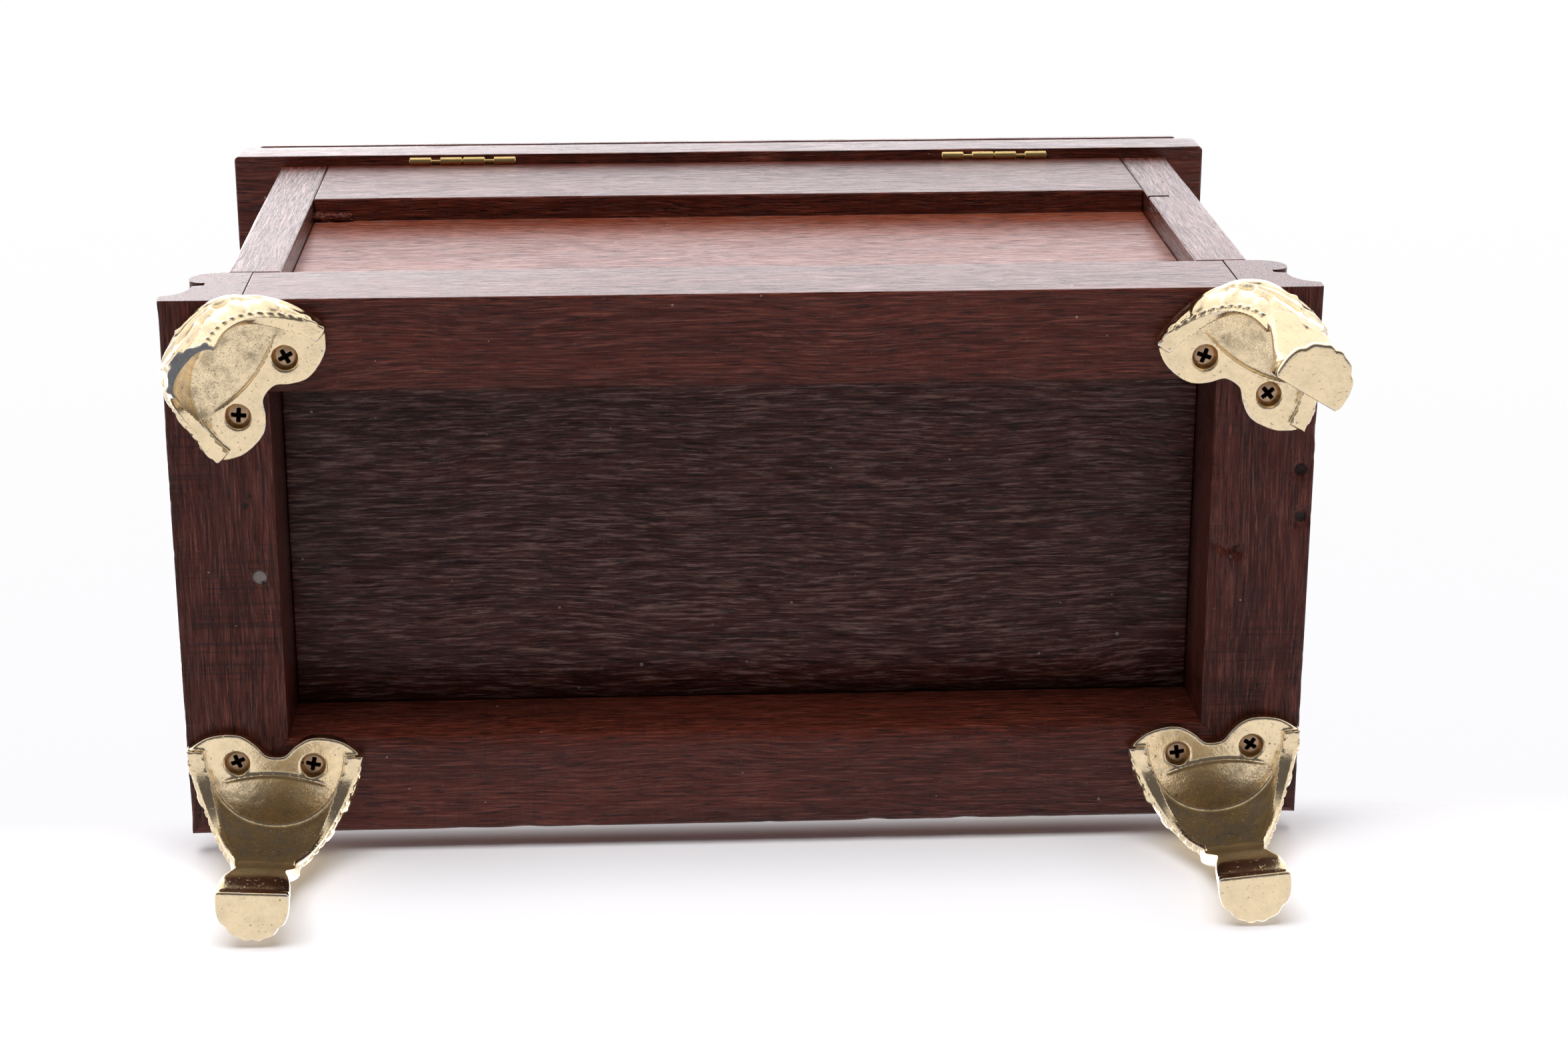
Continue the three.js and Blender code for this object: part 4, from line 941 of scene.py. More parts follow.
def build_pull(drawer, side):
    """A pierced-looking back plate with two turned posts, and a bail whose wire swells at its middle."""
    plate_node, bail_node = f"{drawer}_pull_plate_{side}", f"{drawer}_pull_bail_{side}"
    low, high = box_mm(plate_node)
    centre = np.array([(low[0] + high[0]) / 2, high[1], (low[2] + high[2]) / 2 + 0.25])
    plate, faces = outline_stack(pull_outline(), [(0.3, 0), (0, 0.0), (0, 0.5), (0.12, 0.9), (0.55, 1.15),
                                                  (1.1, 1.2), (1.5, 1.0), (1.9, 1.0)])
    plate = plate[:, [0, 2, 1]] * np.array((1, -1, 1))
    post, post_faces = lathe([(0, 3.4), (0.5, 3.4), (0.8, 2.9), (1.1, 1.7), (2.0, 1.5), (2.6, 2.0),
                              (3.6, 2.3), (4.4, 2.0), (4.9, 1.2), (5.05, 0.3)], 28)
    parts = [(plate, faces)]
    for x in (-13.0, 13.0):
        turned = np.stack([post[:, 1] + x, -1.0 - post[:, 0], post[:, 2]], -1)
        parts.append((turned, post_faces))
    points, faces = join_parts(parts)
    points = np.clip(points + centre, low, high)
    mesh = raw_mesh(plate_node + "_brass", points, faces)
    place_piece(plate_node + "_brass", mesh, drawer, [plate_node], brass, 40)

    low, high = box_mm(bail_node)
    end = 11.1
    half = [(end, 0), (end + 4.4, -0.1), (end + 6.2, -1.7), (end + 5.8, -5.6), (end + 1.4, -10.4),
            (5.5, -12.9), (0, -13.5)]
    line = np.array(half + [(-x, z) for x, z in half[-2::-1]], float)
    t = np.linspace(0, 1, 90)
    path = through(line, t)
    tangent = np.gradient(path, axis=0)
    tangent /= np.linalg.norm(tangent, axis=1, keepdims=True)
    across = np.stack([-tangent[:, 1], tangent[:, 0]], -1)
    grip = 0.2 * np.exp(-(((t - 0.5) / 0.12) ** 2))
    collars = 0.22 * np.exp(-(((np.abs(t - 0.5) - 0.2) / 0.02) ** 2))
    thick = 0.72 + grip + collars
    angle = np.linspace(0, 2 * pi, 16, endpoint=False)
    ring = thick[:, None, None] * np.stack([np.cos(angle), np.sin(angle)], -1)[None]
    plan = path[:, None] + ring[..., :1] * across[:, None]
    middle = (low[1] + high[1]) / 2
    points = np.stack([plan[..., 0], middle + ring[..., 1], plan[..., 1]], -1).reshape(-1, 3)
    points[:, 0] += centre[0]
    points[:, 2] += high[2] - 0.95
    mesh = raw_mesh(bail_node + "_brass", np.clip(points, low, high), tube_faces(90, 16))
    body = f"{drawer}_bail_{side}"
    place_piece(bail_node + "_brass", mesh, body, [bail_node], brass, 60)


def build_drawer(drawer, seed):
    """Front with eased edges, plain sides, back and bottom, a velvet pad and two pulls."""
    board(f"{drawer}_front", drawer, "rosewood", front_x, ease=0.8, wear=0.3, seed=seed)
    for index, part in enumerate(("side_right", "side_left")):
        board(f"{drawer}_{part}", drawer, "drawer_wood", honey_y, ease=0.4, seed=seed + 1 + index)
    board(f"{drawer}_back", drawer, "drawer_wood", honey_x, ease=0.4, seed=seed + 3)
    board(f"{drawer}_bottom", drawer, "drawer_wood", honey_x, ease=0.3, seed=seed + 4)
    low, high = box_mm(f"{drawer}_lining")
    pad = place_piece(f"{drawer}_pad", pad_mesh(f"{drawer}_pad", low, high, seed + 5), drawer,
                      [f"{drawer}_lining"], velvet)
    for side in ("right", "left"):
        build_pull(drawer, side)


# ---------------------------------------------------------------- hinges


KNUCKLES = ((0.0, 6.3), (8.7, 15.0), (15.2, 21.5), (23.9, 30.2))
HINGE_Y, HINGE_Z = 70.0, 152.7


def cross_head(radius, rise, arm, slot_half, count=72, rings=22):
    """A screw head as a polar grid facing +Z: a low dome that falls at its rim, with a cross cut in."""
    r = np.linspace(0, 1, rings)[:, None] ** 0.8 * radius
    angle = np.linspace(0, 2 * pi, count, endpoint=False)[None, :]
    x, y = r * np.cos(angle), r * np.sin(angle)
    dome = rise * (1 - (r / radius) ** 2) + 0 * angle
    edge = 0.5 * smoothstep(radius * 0.9, radius, r)
    bar_x = smoothstep(slot_half, slot_half * 0.6, np.abs(y)) * smoothstep(arm, arm * 0.82, np.abs(x))
    bar_y = smoothstep(slot_half, slot_half * 0.6, np.abs(x)) * smoothstep(arm, arm * 0.82, np.abs(y))
    cut = np.maximum(bar_x, bar_y) * (0.75 + 0.5 * smoothstep(arm, 0, np.hypot(x, y)))
    z = dome - edge - cut
    points = np.stack([x, y, z], -1).reshape(-1, 3)[count - 1:]
    points[0] = (0, 0, z[0, 0])
    first = [[0, 1 + i, 1 + (i + 1) % count] for i in range(count)]
    rest = (wrapped_quads(rings - 1, count) + 1).tolist()
    return points, first + rest, 1 + (rings - 2) * count


def build_glue():
    """A run of old glue in a back corner: a ball grid stretched three ways and roughened by noise."""
    around = np.linspace(0, 2 * pi, 40, endpoint=False)[None, :]
    down = np.linspace(0.02, pi - 0.02, 24)[:, None]
    ball = np.stack([np.sin(down) * np.cos(around), np.sin(down) * np.sin(around),
                     np.cos(down) + 0 * around], -1)
    ball = ball.reshape(-1, 3) * np.array((6.5, 1.6, 1.5))
    ball *= (1 + 0.35 * lattice(ball, 1.7, 91) + 0.2 * lattice(ball, 0.7, 92))[:, None]
    corner, limit = box_mm("case_back_panel")[1], box_mm("case_back_rail")[1]
    points = ball + corner + np.array((-4.5, 1.0, -0.8))
    points[:, 1] = np.minimum(points[:, 1], limit[1] - 0.1)
    place_piece("old_glue", raw_mesh("glue", points, tube_faces(24, 40)), "chest", [], stile_z,
                60)


HINGE_HALF, LEAF_THICK = 15.1, 0.5
LEAF_END, LEAF_SCREWS = 69.0, 62.0  # how far back the leaves reach, and where their screws sit
LEAF_HEIGHTS = {"case": 152.05, "lid": 152.85}


def build_hinge(side, middle):
    """Two thin leaves, each with rolled knuckles, and a pin with domed ends through them."""
    for kind, knuckles, body in (("case", (0, 2), "chest"), ("lid", (1, 3), "lid")):
        name = f"hinge_{kind}_leaf_{side}"
        low, high = box_mm(name)
        flat_low = LEAF_HEIGHTS[kind]
        leaf = board_mesh("leaf", (low[0], low[1], flat_low), (high[0], LEAF_END, flat_low + LEAF_THICK),
                          ease=0.12, wear=0, step=3)
        parts = [(mesh_points(leaf), [list(face.vertices) for face in leaf.polygons])]
        for index in knuckles:
            start, end = KNUCKLES[index]
            points, faces = lathe([(start, 0.6), (start, 1.0), (start + 0.2, 1.22), (end - 0.2, 1.22),
                                   (end, 1.0), (end, 0.6)], 24)
            parts.append((points + np.array((middle - HINGE_HALF, HINGE_Y, HINGE_Z)), faces))
            turn = 1 if kind == "case" else -1
            steps = 40
            head, head_faces, rim = cross_head(1.5, 0.25, 1.0, 0.25, steps, 14)
            under = head[rim:] * np.array((1, 1, 0)) + np.array((0, 0, -1.2))
            head = np.vstack([head, under]) * np.array((1, turn, 0.3 * turn))
            head += np.array((middle + (start + end) / 2 - HINGE_HALF, LEAF_SCREWS,
                              flat_low + (LEAF_THICK if turn > 0 else 0.0)))
            sides = [[rim + i, rim + (i + 1) % steps, rim + steps + (i + 1) % steps, rim + steps + i]
                     for i in range(steps)]
            parts.append((head, head_faces + sides + [list(range(rim + steps, rim + 2 * steps))]))
            tab = board_mesh("tab", (middle - HINGE_HALF + start, 68.3, flat_low),
                             (middle - HINGE_HALF + end, 70.0, flat_low + LEAF_THICK),
                             ease=0.1, wear=0, step=2)
            parts.append((mesh_points(tab), [list(face.vertices) for face in tab.polygons]))
        mesh = raw_mesh(name + "_brass", *join_parts(parts))
        place_piece(name + "_brass", mesh, body, [name], brass, 40)
    name = f"hinge_pin_{side}"
    points, faces = lathe([(0, 0.2), (0.15, 0.45), (0.4, 0.54), (29.8, 0.54), (30.05, 0.45), (30.2, 0.2)],
                          18)
    mesh = raw_mesh(name + "_brass", points + np.array((middle - HINGE_HALF, HINGE_Y, HINGE_Z)), faces)
    place_piece(name + "_brass", mesh, "chest", [name], brass, 60)


# ---------------------------------------------------------------- feet and their screws


# Each foot's place and turn in degrees, and whether it is snapped off. A foot's own axes are +X out
# through its knee and +Z up, with its plate's top at 0.
FEET = {
    "front_right": (117.87, -49.32, -86.8, False),
    "front_left": (-117.91, -50.28, -95.5, False),
    "rear_left": (-119.11, 47.91, 121.2, False),
    "rear_right": (115.95, 48.43, 39.5, True),
}
SCREW_AT = 9.35
# The knee at six steps down: the rim's outer and inner edge, and the outer and inner skin's middle.
RIM_OUT = [(-3.3, 21.8, -4.5), (3.5, 19.3, -5.4), (9.5, 16.5, -8.6), (13.9, 13.5, -13.6),
           (16.1, 10.2, -20.3), (16.0, 7.3, -27.0)]
RIM_IN = [(-3.4, 17.6, -4.8), (2.6, 15.8, -5.6), (8.1, 14.2, -7.8), (12.6, 12.3, -11.4),
          (15.2, 10.0, -17.2), (15.2, 7.0, -25.7)]
KNEE = [(23.3, 0, -1.5), (23.7, 0, -6.0), (23.6, 0, -11.0), (22.8, 0, -17.0), (21.9, 0, -22.5),
        (21.2, 0, -27.0)]
POCKET = [(16.4, 0, -2.6), (17.0, 0, -6.0), (17.9, 0, -11.0), (18.5, 0, -16.0), (18.8, 0, -21.0),
          (18.8, 0, -27.0)]


def leaf_relief(across, down, rim):
    """Height of the cast ornament: an acanthus leaf with midrib, slanting veins and lobes, then beads.

    across is the distance from the knee's middle, down the share of its height, rim that to its edge."""
    fall = down * 27
    lobes = 1 + 0.16 * np.abs(np.sin(fall * 0.42))
    edge = 13.5 * np.clip(1 - down, 0, 1) ** 0.7 * lobes - across
    body = 0.8 * smoothstep(-0.2, 0.9, edge)
    lift = 0.55 * smoothstep(2.8, 0.3, edge) * smoothstep(-0.2, 0.5, edge)
    rib = 0.5 * np.exp(-((across / 0.75) ** 2)) * smoothstep(0, 0.1, 1 - down)
    fold = ((fall + 0.7 * across) * 0.42 / pi) % 1.0
    veins = 0.85 * (1 - fold) ** 1.5 * smoothstep(0.0, 0.08, fold) * smoothstep(0.3, 1.5, edge)
    along = (fall * 1.15) / 2.2
    cell = (along - np.floor(along) - 0.5) * 2.2
    bead = 0.9 * np.sqrt(np.clip(1 - (cell / 1.0) ** 2 - ((rim - 2.2) / 1.0) ** 2, 0, 1))
    scroll = 0.5 * smoothstep(0.1, 0.8, np.sin((across * 0.6 - fall * 0.25)))
    scroll = scroll * smoothstep(0, -2.0, edge) * smoothstep(3.6, 4.4, rim)
    return np.maximum(body + lift + rib - veins + scroll, bead)


def shell_parts(snapped):
    """The knee: for each step down, a curve round the outside, a flat rim, and a curve back inside.

    Both are cubic Beziers from the rim to the middle, mirrored; leaf_relief raises the outside."""
    downs, turns = 110, 75
    v = np.linspace(0, 1, downs)
    if snapped:
        v = v * 0.985
    root = np.zeros(10)
    lift = np.concatenate([np.linspace(1, 0, 11)[:-1], np.zeros(downs)])[:, None]
    v = np.concatenate([root, v])
    downs = len(v)
    outer_rim, inner_rim = through(RIM_OUT, v), through(RIM_IN, v)
    knee, pocket = through(KNEE, v), through(POCKET, v)
    for line in (outer_rim, inner_rim, knee, pocket):
        line[:, 2:] = line[:, 2:] * (1 - lift) - 0.1 * lift
    t = np.linspace(0, 1, turns)[None, :, None]

    def half_turn(rim, apex):
        first, last = rim[:, None], apex[:, None]
        pull_rim = first + (last - first) * np.array((0.55, 0.0, 0.3))
        pull_apex = last + first * np.array((0, 0.62, 0))
        return bezier(first, pull_rim, pull_apex, last, t)

    outside, inside = half_turn(outer_rim, knee), half_turn(inner_rim, pocket)
    step = np.linalg.norm(np.diff(outside, axis=1), axis=2)
    from_rim = np.concatenate([np.zeros((downs, 1)), np.cumsum(step, 1)], 1)
    across = from_rim[:, -1:] - from_rim
    normal = np.cross(np.gradient(outside, axis=1), np.gradient(outside, axis=0))
    normal /= np.maximum(np.linalg.norm(normal, axis=2, keepdims=True), 1e-9)
    normal *= np.sign((normal * (outside - np.array((8.0, 0, -14.0)))).sum(2, keepdims=True))
    relief = leaf_relief(across, v[:, None], from_rim)
    raised = (relief - 0.55) * smoothstep(0.4, 1.6, from_rim) * smoothstep(-0.8, -2.4, outside[..., 2])
    outside = outside + np.nan_to_num(normal) * raised[..., None]
    flip = np.array((1, -1, 1))
    ring = np.concatenate([outside, outside[:, -2::-1] * flip, inside * flip, inside[:, -2::-1]], 1)
    if snapped:
        last = ring[-1].copy()
        level = last * np.array((1, 1, 0))
        rough = lattice(level, 2.0, 61) + 0.5 * lattice(level, 0.8, 62)
        ring[-1, :, 2] = -26.3 + 0.35 * rough
    return [(ring.reshape(-1, 3), tube_faces(downs, ring.shape[1]))]


def leg_parts():
    """Ankle and heel: rounded oblongs carried down an S, then a scalloped toe pad with three grooves."""
    heights = np.linspace(0, 1, 60)
    front = through([(22.4, -24), (20.4, -28.5), (18.0, -34), (15.6, -39), (14.4, -44), (15.6, -48),
                     (18.2, -51.4)], heights)
    back = through([(16.2, -24), (16.1, -27.4), (13.9, -33), (11.8, -38.5), (10.6, -45), (10.8, -49),
                    (11.5, -52.0)], heights)
    wide = through([(8.4, 0), (7.7, 0), (6.9, 0), (6.5, 0), (7.9, 0), (8.5, 0), (8.6, 0)], heights)[:, 0]
    angle = np.linspace(0, 2 * pi, 72, endpoint=False)[None, :]
    c, s = np.cos(angle), np.sin(angle)
    blunt = np.where(c > 0, 0.75, 0.28)
    share = 0.5 + 0.5 * np.sign(c) * np.abs(c) ** blunt
    side = np.sign(s) * np.abs(s) ** np.where(c > 0, 0.75, 0.3)
    a = back[:, :1] * (1 - share) + front[:, :1] * share
    z = back[:, 1:] * (1 - share) + front[:, 1:] * share
    b = wide[:, None] * side
    points = np.stack([a, b, z], -1).reshape(-1, 3)
    half = [(11.3, 8.0), (11.8, 8.6), (14.0, 8.75), (17.0, 8.5), (19.4, 7.6), (20.4, 6.2), (21.0, 6.0),
            (22.2, 5.2), (23.0, 3.6), (23.2, 2.9), (23.9, 1.7), (23.7, 0.5), (23.4, 0.0)]
    upper = through(half, np.linspace(0, 1, 50))
    outline = np.vstack([upper, upper[-2::-1] * np.array((1, -1))])[::-1]
    pad, pad_faces = outline_stack(outline, [(0.7, -53.3), (0.35, -53.3), (0.0, -53.0), (0.0, -51.6),
                                             (0.25, -51.0), (0.9, -50.6), (1.6, -50.5)])
    return [(points, tube_faces(60, 72)), (pad, pad_faces)]


def plate_outline():
    """The mounting plate's edge: two lobes with a notch between them behind, the knee's curve in front."""
    lobe = [(-1.9, 0), (-2.4, 2.4), (-5.0, 4.9), (-7.2, 8.2), (-7.6, 12.0), (-6.7, 16.4), (-4.7, 19.6),
            (-2.6, 21.6)]
    wing = [(-2.6, 21.6), (3.5, 20.0), (9.0, 18.5), (13.3, 16.9), (18.6, 13.6), (21.3, 10.2), (23.2, 5.8),
            (23.6, 0)]
    half = np.vstack([through(lobe, np.linspace(0, 1, 60)), through(wing, np.linspace(0, 1, 70))[1:]])
    return np.vstack([half, half[-2:0:-1] * np.array((1, -1))])[::-1]


def drilled_plate():
    """The plate, 3.2 mm thick with eased edges, its two screw seats sunk 2.4 mm from below."""
    points, faces = outline_stack(plate_outline(), [(0.5, -3.2), (0.25, -3.2), (0.0, -2.9), (0.0, -0.3),
                                                    (0.2, 0.0), (0.5, 0.0)])
    plate = raw_mesh("plate", points, faces)
    for y in (-SCREW_AT, SCREW_AT):
        seat, seat_faces = lathe([(-6.0, 3.05), (-3.6, 3.05), (-0.8, 3.0), (-0.8, 2.2), (0.6, 2.2)], 48)
        turned = np.stack([seat[:, 1], seat[:, 2] + y, seat[:, 0]], -1)
        plate = carved(plate, raw_mesh("seat", turned, seat_faces))
    return mesh_points(plate), [list(face.vertices) for face in plate.polygons]


def rib_parts():
    """A raised line across the pocket's ceiling: a small round carried along a shallow arc."""
    t = np.linspace(-1, 1, 60)
    path = np.stack([2.6 + 2.6 * t * t, 13.2 * t, np.full(60, -3.25)], -1)
    angle = np.linspace(0, 2 * pi, 12, endpoint=False)
    radius = 0.42 * np.clip(1 - t**8, 0.05, 1)
    ring = radius[:, None, None] * np.stack([np.cos(angle), np.sin(angle)], -1)[None]
    points = np.stack([path[:, :1] + ring[..., 0], path[:, 1:2] + 0 * ring[..., 0],
                       path[:, 2:] + ring[..., 1]], -1)
    return points.reshape(-1, 3), tube_faces(60, 12)


def neighbour_mean(points, edges):
    """Each point's mean neighbour along the mesh's edges."""
    total = np.zeros_like(points)
    count = np.zeros(len(points))
    for a, b in ((0, 1), (1, 0)):
        np.add.at(total, edges[:, a], points[edges[:, b]])
        np.add.at(count, edges[:, a], 1)
    return total / np.maximum(count, 1)[:, None]


def fused_foot(snapped):
    """One casting from its overlapping parts: filled as small cells, then softened twice along its edges.

    worn and hollow are how far a point stands out of, or lies below, its neighbours' mean; the pocket's
    inner walls get some of both, and hollow also carries painted shade on the pocket's ceiling next to the
    walls."""
    parts = shell_parts(snapped) + [drilled_plate(), rib_parts()]
    if not snapped:
        parts += leg_parts()
    rough = raw_mesh("foot", *join_parts(parts))

    def add(holder):
        fuse = holder.modifiers.new("fuse", "REMESH")
        fuse.mode = "VOXEL"
        fuse.voxel_size = 0.33
        fuse.adaptivity = 0.0

    mesh = modified(rough, add)
    edges = np.empty(len(mesh.edges) * 2, np.int64)
    mesh.edges.foreach_get("vertices", edges)
    edges = edges.reshape(-1, 2)
    points = mesh_points(mesh)
    for _ in range(2):
        points = points + 0.5 * (neighbour_mean(points, edges) - points)
    set_points(mesh, points)
    normals = np.empty(len(points) * 3)
    mesh.vertices.foreach_get("normal", normals)
    mean = points
    for _ in range(6):
        mean = neighbour_mean(mean, edges)
    stand = ((points - mean) * normals.reshape(-1, 3)).sum(1)
    down = -normals.reshape(-1, 3)[:, 2]
    x, y, z = points.T
    wall = smoothstep(9.0, 2.0, through(RIM_IN, np.linspace(0, 0.5, 9))[:, 0].max() - np.hypot(x, 0.75 * y))
    # Painted shade: the plate's underside inside the pocket, near the inner wall, goes darker through
    # hollow.
    ceiling = 0.7 * wall * smoothstep(2.6, 5.5, x) * (np.abs(z + 3.2) < 0.5) * (down > 0.5)
    faces_back = normals.reshape(-1, 3)[:, 0] < 0
    inner = (np.hypot(x - 4, y) < 15.5) * (z < -3.9) * (down < 0.5) * (z > -25) * faces_back
    oval = np.abs(np.hypot(y / 2.6, (z + 15.5) / 1.5) - 1) < 0.12
    inner = 0.5 * inner + 1.2 * inner * oval
    set_attribute(mesh, "worn", np.maximum(smoothstep(0.06, 0.24, stand), 1.4 * np.minimum(inner, 0.6)))
    set_attribute(mesh, "hollow", np.maximum(smoothstep(-0.03, -0.2, stand), np.maximum(ceiling, inner)))
    low = smoothstep(-25.3, -25.9, points[:, 2]) * smoothstep(0.2, 0.5, down)
    set_attribute(mesh, "broken", low if snapped else np.zeros(len(points)))
    return mesh


def turned_place(points, x, y, turn):
    """Points turned about the height axis and moved to a foot's place."""
    c, s = cos(radians(turn)), sin(radians(turn))
    return np.stack([x + c * points[:, 0] - s * points[:, 1], y + s * points[:, 0] + c * points[:, 1],
                     points[:, 2]], -1)


def screw_mesh(name, spin):
    """Cross-head screw: the head's grid turned to face down, closed onto a tapering threaded shank."""
    head, faces, rim = cross_head(2.62, 0.3, 1.9, 0.56)
    count = 72
    head = head * np.array((1, -1, -1)) + np.array((0, 0, -1.45))
    z = np.concatenate([[-0.95, -0.05, -0.02], np.linspace(0, 8.6, 60), [10.4, 11.0]])
    r = np.concatenate([[2.62, 2.62, 1.45], 1.2 + 0.2 * np.sin(np.linspace(0, 8.6, 60) * 2 * pi / 1.3),
                        [0.35, 0.05]])
    angle = np.linspace(0, 2 * pi, count, endpoint=False)
    body = np.stack([r[:, None] * np.cos(angle), -r[:, None] * np.sin(angle), z[:, None] + 0 * angle], -1)
    start = len(head)
    faces = list(faces)
    faces += [[rim + i, rim + (i + 1) % count, start + (i + 1) % count, start + i] for i in range(count)]
    faces += (wrapped_quads(len(z), count) + start).tolist()
    faces.append(list(range(start + (len(z) - 1) * count, start + len(z) * count)))
    points = np.vstack([head, body.reshape(-1, 3)])
    mesh = raw_mesh(name, turned_place(points, 0, 0, spin), faces)
    where = mesh_points(mesh)
    away = np.hypot(where[:, 0], where[:, 1])
    sunk = where[:, 2] + 1.45 + 0.3 * (1 - (away / 2.62) ** 2)
    # Painted shade: the bottom of the cross slot gets a hollow value of 3, which the metal turns near
    # black.
    set_attribute(mesh, "hollow", 3.0 * smoothstep(0.12, 0.5, sunk) * (away < 2.2) * (where[:, 2] < -0.1))
    return mesh


def build_feet():
    """Four castings and their eight screws, each mesh turned and moved to its own corner."""
    whole, broken = fused_foot(False), fused_foot(True)
    spins = iter((12, 68, 35, 81, 20, 50, 5, 62))
    for corner, (x, y, turn, snapped) in FEET.items():
        mesh = (broken if snapped else whole).copy()
        mesh.name = f"foot_{corner}_casting"
        low, high = box_mm(f"foot_{corner}")
        set_points(mesh, np.clip(turned_place(mesh_points(mesh), x, y, turn), low, high))
        place_piece(f"foot_{corner}_casting", mesh, "chest", [f"foot_{corner}"], gilt, 180)
        for label in ("a", "b"):
            node_name = f"foot_screw_{corner}_{label}"
            low, high = box_mm(node_name)
            centre = (low + high) / 2
            screw = screw_mesh(node_name + "_turned", next(spins))
            set_points(screw, np.clip(mesh_points(screw) + np.array((centre[0], centre[1], 0)), low, high))
            place_piece(node_name + "_turned", screw, "chest", [node_name], screw_brass, 40)


build_plinth()
build_case()
build_tray()
build_lid()
build_drawer("drawer_lower", 51)
build_drawer("drawer_upper", 71)
build_hinge("right", 75.2)
build_hinge("left", -77.0)
build_glue()
build_feet()


# ---------------------------------------------------------------- camera, light and the ground


def set_camera():
    """Camera under the chest, which lies on its front: its place, its right and its up are unit rows."""
    place = np.array((24.73, 252.12, -713.23)) * MM + ORIGIN
    right = Vector((-0.998854, -0.000895, -0.047845))
    up = Vector((-0.016142, 0.947527, 0.319269))
    back = right.cross(up)
    data = bpy.data.cameras.new("camera")
    data.sensor_width = 36.0
    data.lens = 70.45
    data.clip_start = 0.01
    data.clip_end = 50
    camera = bpy.data.objects.new("camera", data)
    turn = Matrix((right, up, back)).transposed().to_4x4()
    camera.matrix_world = Matrix.Translation(Vector(place)) @ turn
    bpy.context.scene.collection.objects.link(camera)
    bpy.context.scene.camera = camera


def area_light(name, place, target, size, power, mirrored=True):
    """A soft rectangular lamp that faces a target; mirrored says if shiny surfaces show it."""
    data = bpy.data.lights.new(name, "AREA")
    data.shape = "RECTANGLE"
    data.size, data.size_y = size
    data.energy = power
    light = bpy.data.objects.new(name, data)
    light.visible_glossy = mirrored
    bpy.context.scene.collection.objects.link(light)
    aim = Vector(target) - Vector(place)
    turn = aim.to_track_quat("-Z", "Y").to_matrix().to_4x4()
    light.matrix_world = Matrix.Translation(Vector(place)) @ turn


def set_world():
    """Near-white all round for the eye; for light and reflections, bright above and behind, dim below."""
    world = bpy.data.worlds.new("world")
    bpy.context.scene.world = world
    world.use_nodes = True
    tree = world.node_tree
    background = tree.nodes["Background"]
    direction = node(tree, "ShaderNodeTexCoord").outputs["Generated"]
    parts = node(tree, "ShaderNodeSeparateXYZ")
    feed(tree, parts.inputs[0], direction)
    rise = reshape(tree, parts.outputs["Z"], -0.6, 0.25)
    lit = blend(tree, rise, (0.12, 0.115, 0.12, 1), (1.25, 1.25, 1.26, 1))
    lit = blend(tree, reshape(tree, parts.outputs["Z"], 0.72, 0.9), lit, (2.35, 2.3, 2.38, 1))
    lit = blend(tree, reshape(tree, parts.outputs["Y"], 0.02, -0.12), lit, (0.92, 0.91, 0.94, 1))
    seen = blend(tree, reshape(tree, parts.outputs["Y"], -0.55, -0.15), (0.955, 0.94, 0.975, 1),
                 (1.0, 1.0, 1.0, 1))
    eye = node(tree, "ShaderNodeLightPath").outputs["Is Camera Ray"]
    link(tree, blend(tree, eye, lit, seen), background.inputs["Color"])


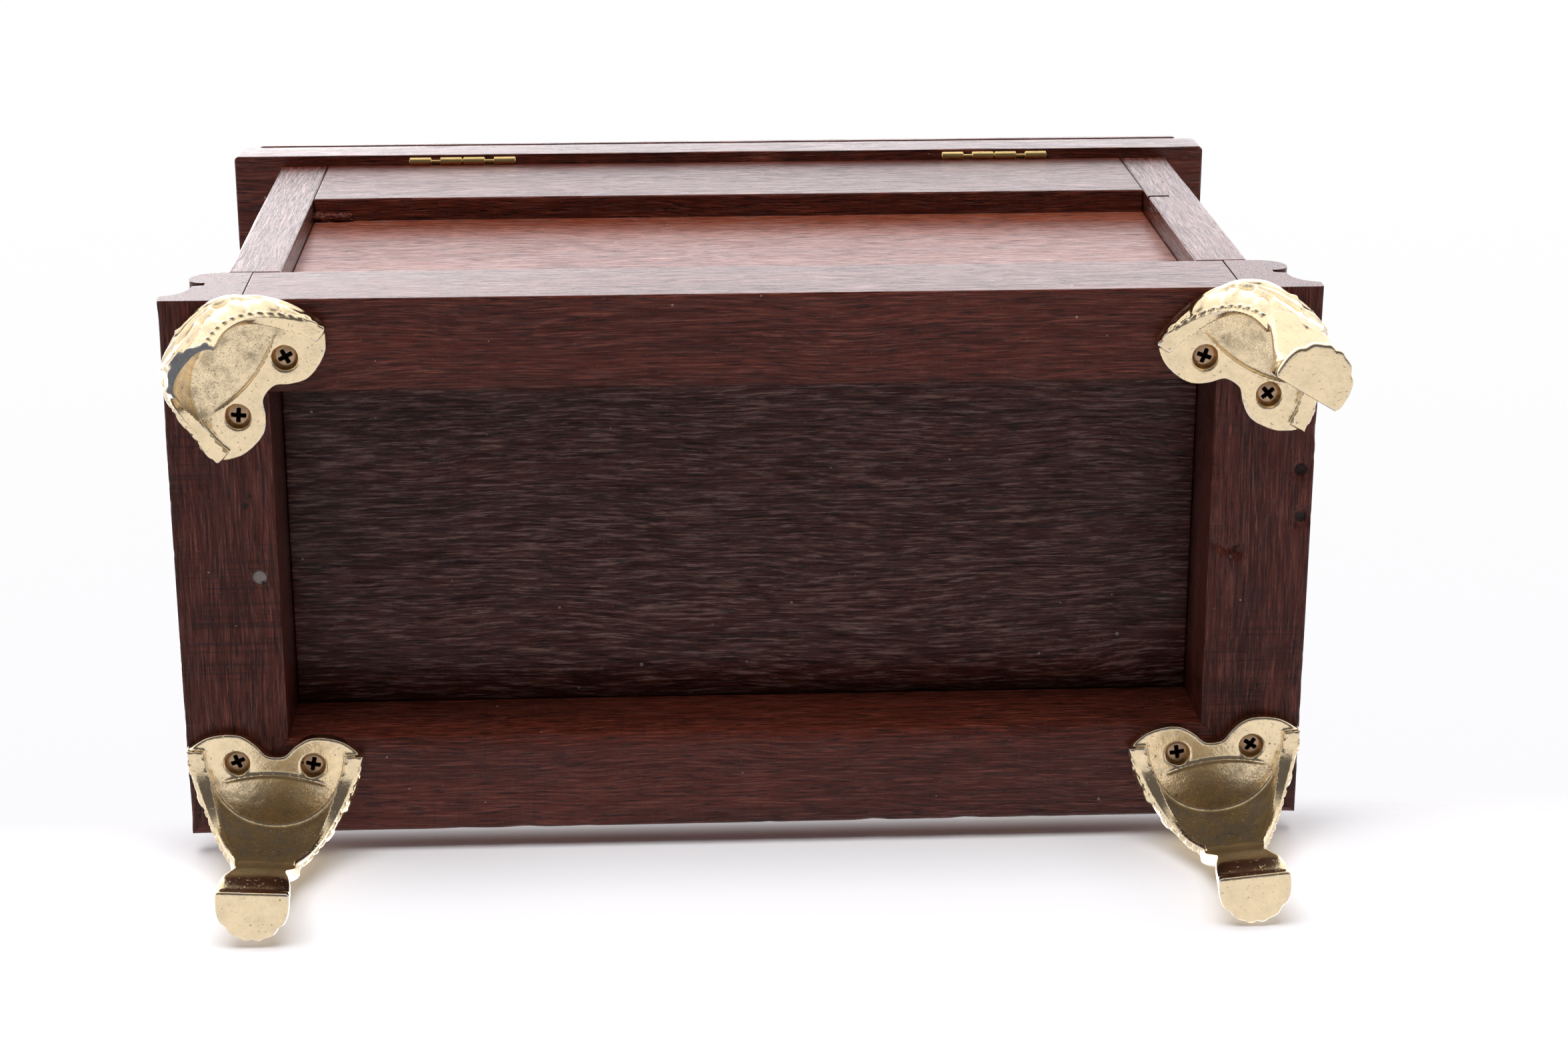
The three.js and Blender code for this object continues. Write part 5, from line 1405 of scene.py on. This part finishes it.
def ground(name, corners, fade):
    """A one-sided pale sheet that only the eye sees: it takes shadows and stops no light."""
    mesh = bpy.data.meshes.new(name)
    mesh.from_pydata([tuple(c) for c in corners], [], [(0, 1, 2, 3)])
    sheet = bpy.data.objects.new(name, mesh)
    bpy.context.scene.collection.objects.link(sheet)
    material = bpy.data.materials.new(name)
    material.use_nodes = True
    tree = material.node_tree
    shader = tree.nodes["Principled BSDF"]
    shader.inputs["Base Color"].default_value = (0.68, 0.67, 0.69, 1)
    shader.inputs["Roughness"].default_value = 0.6
    shader.inputs["Specular IOR Level"].default_value = 0.1
    clear = node(tree, "ShaderNodeBsdfTransparent").outputs[0]
    front = maths(tree, "SUBTRACT", 1.0, node(tree, "ShaderNodeNewGeometry").outputs["Backfacing"])
    eye = node(tree, "ShaderNodeLightPath").outputs["Is Camera Ray"]
    share = maths(tree, "MULTIPLY", maths(tree, "MULTIPLY", front, eye), fade(tree))
    mixed = node(tree, "ShaderNodeMixShader")
    feed(tree, mixed.inputs[0], share)
    link(tree, clear, mixed.inputs[1])
    link(tree, shader.outputs[0], mixed.inputs[2])
    link(tree, mixed.outputs[0], tree.nodes["Material Output"].inputs["Surface"])
    mesh.materials.append(material)


def distance_fade(near, far, centre=(0, 0, 0), top=9.0):
    """A share that falls from 1 to 0 between two distances from a centre, and just below a height."""
    def make(tree):
        coordinates = node(tree, "ShaderNodeTexCoord").outputs["Object"]
        apart = node(tree, "ShaderNodeVectorMath", operation="DISTANCE")
        feed(tree, apart.inputs[0], coordinates)
        apart.inputs[1].default_value = centre
        height = node(tree, "ShaderNodeSeparateXYZ")
        feed(tree, height.inputs[0], coordinates)
        below = reshape(tree, height.outputs["Z"], top, top - 0.02)
        return maths(tree, "MULTIPLY", reshape(tree, apart.outputs["Value"], far, near), below)
    return make


def set_stage():
    """Floor under the toes, and the table top that the chest lies on, both fading into the white room."""
    reach = 1.6
    ground("floor", [(-reach, -reach, 0), (reach, -reach, 0), (reach, reach, 0), (-reach, reach, 0)],
           distance_fade(0.5, 1.5))
    table = cad_low.y - 0.0004
    ground("table", [(-0.3, table, -0.28), (-0.3, table, 0.08), (0.3, table, 0.08), (0.3, table, -0.28)],
           distance_fade(0.15, 0.27, (0, table, 0.0), top=0.078))
    area_light("soft_top", (0.1, 0.95, -0.1), (0, 0, 0.03), (1.0, 0.7), 15, mirrored=False)
    area_light("soft_above", (0.2, -0.35, 1.15), (0, 0, 0.1), (1.0, 1.0), 9)
    area_light("front_fill", (-0.5, -0.9, 0.5), (0, 0, 0.1), (0.8, 0.8), 5)


cad_low = Vector(cad_box[0])
set_camera()
set_world()
set_stage()
bpy.context.scene.view_settings.view_transform = "Standard"
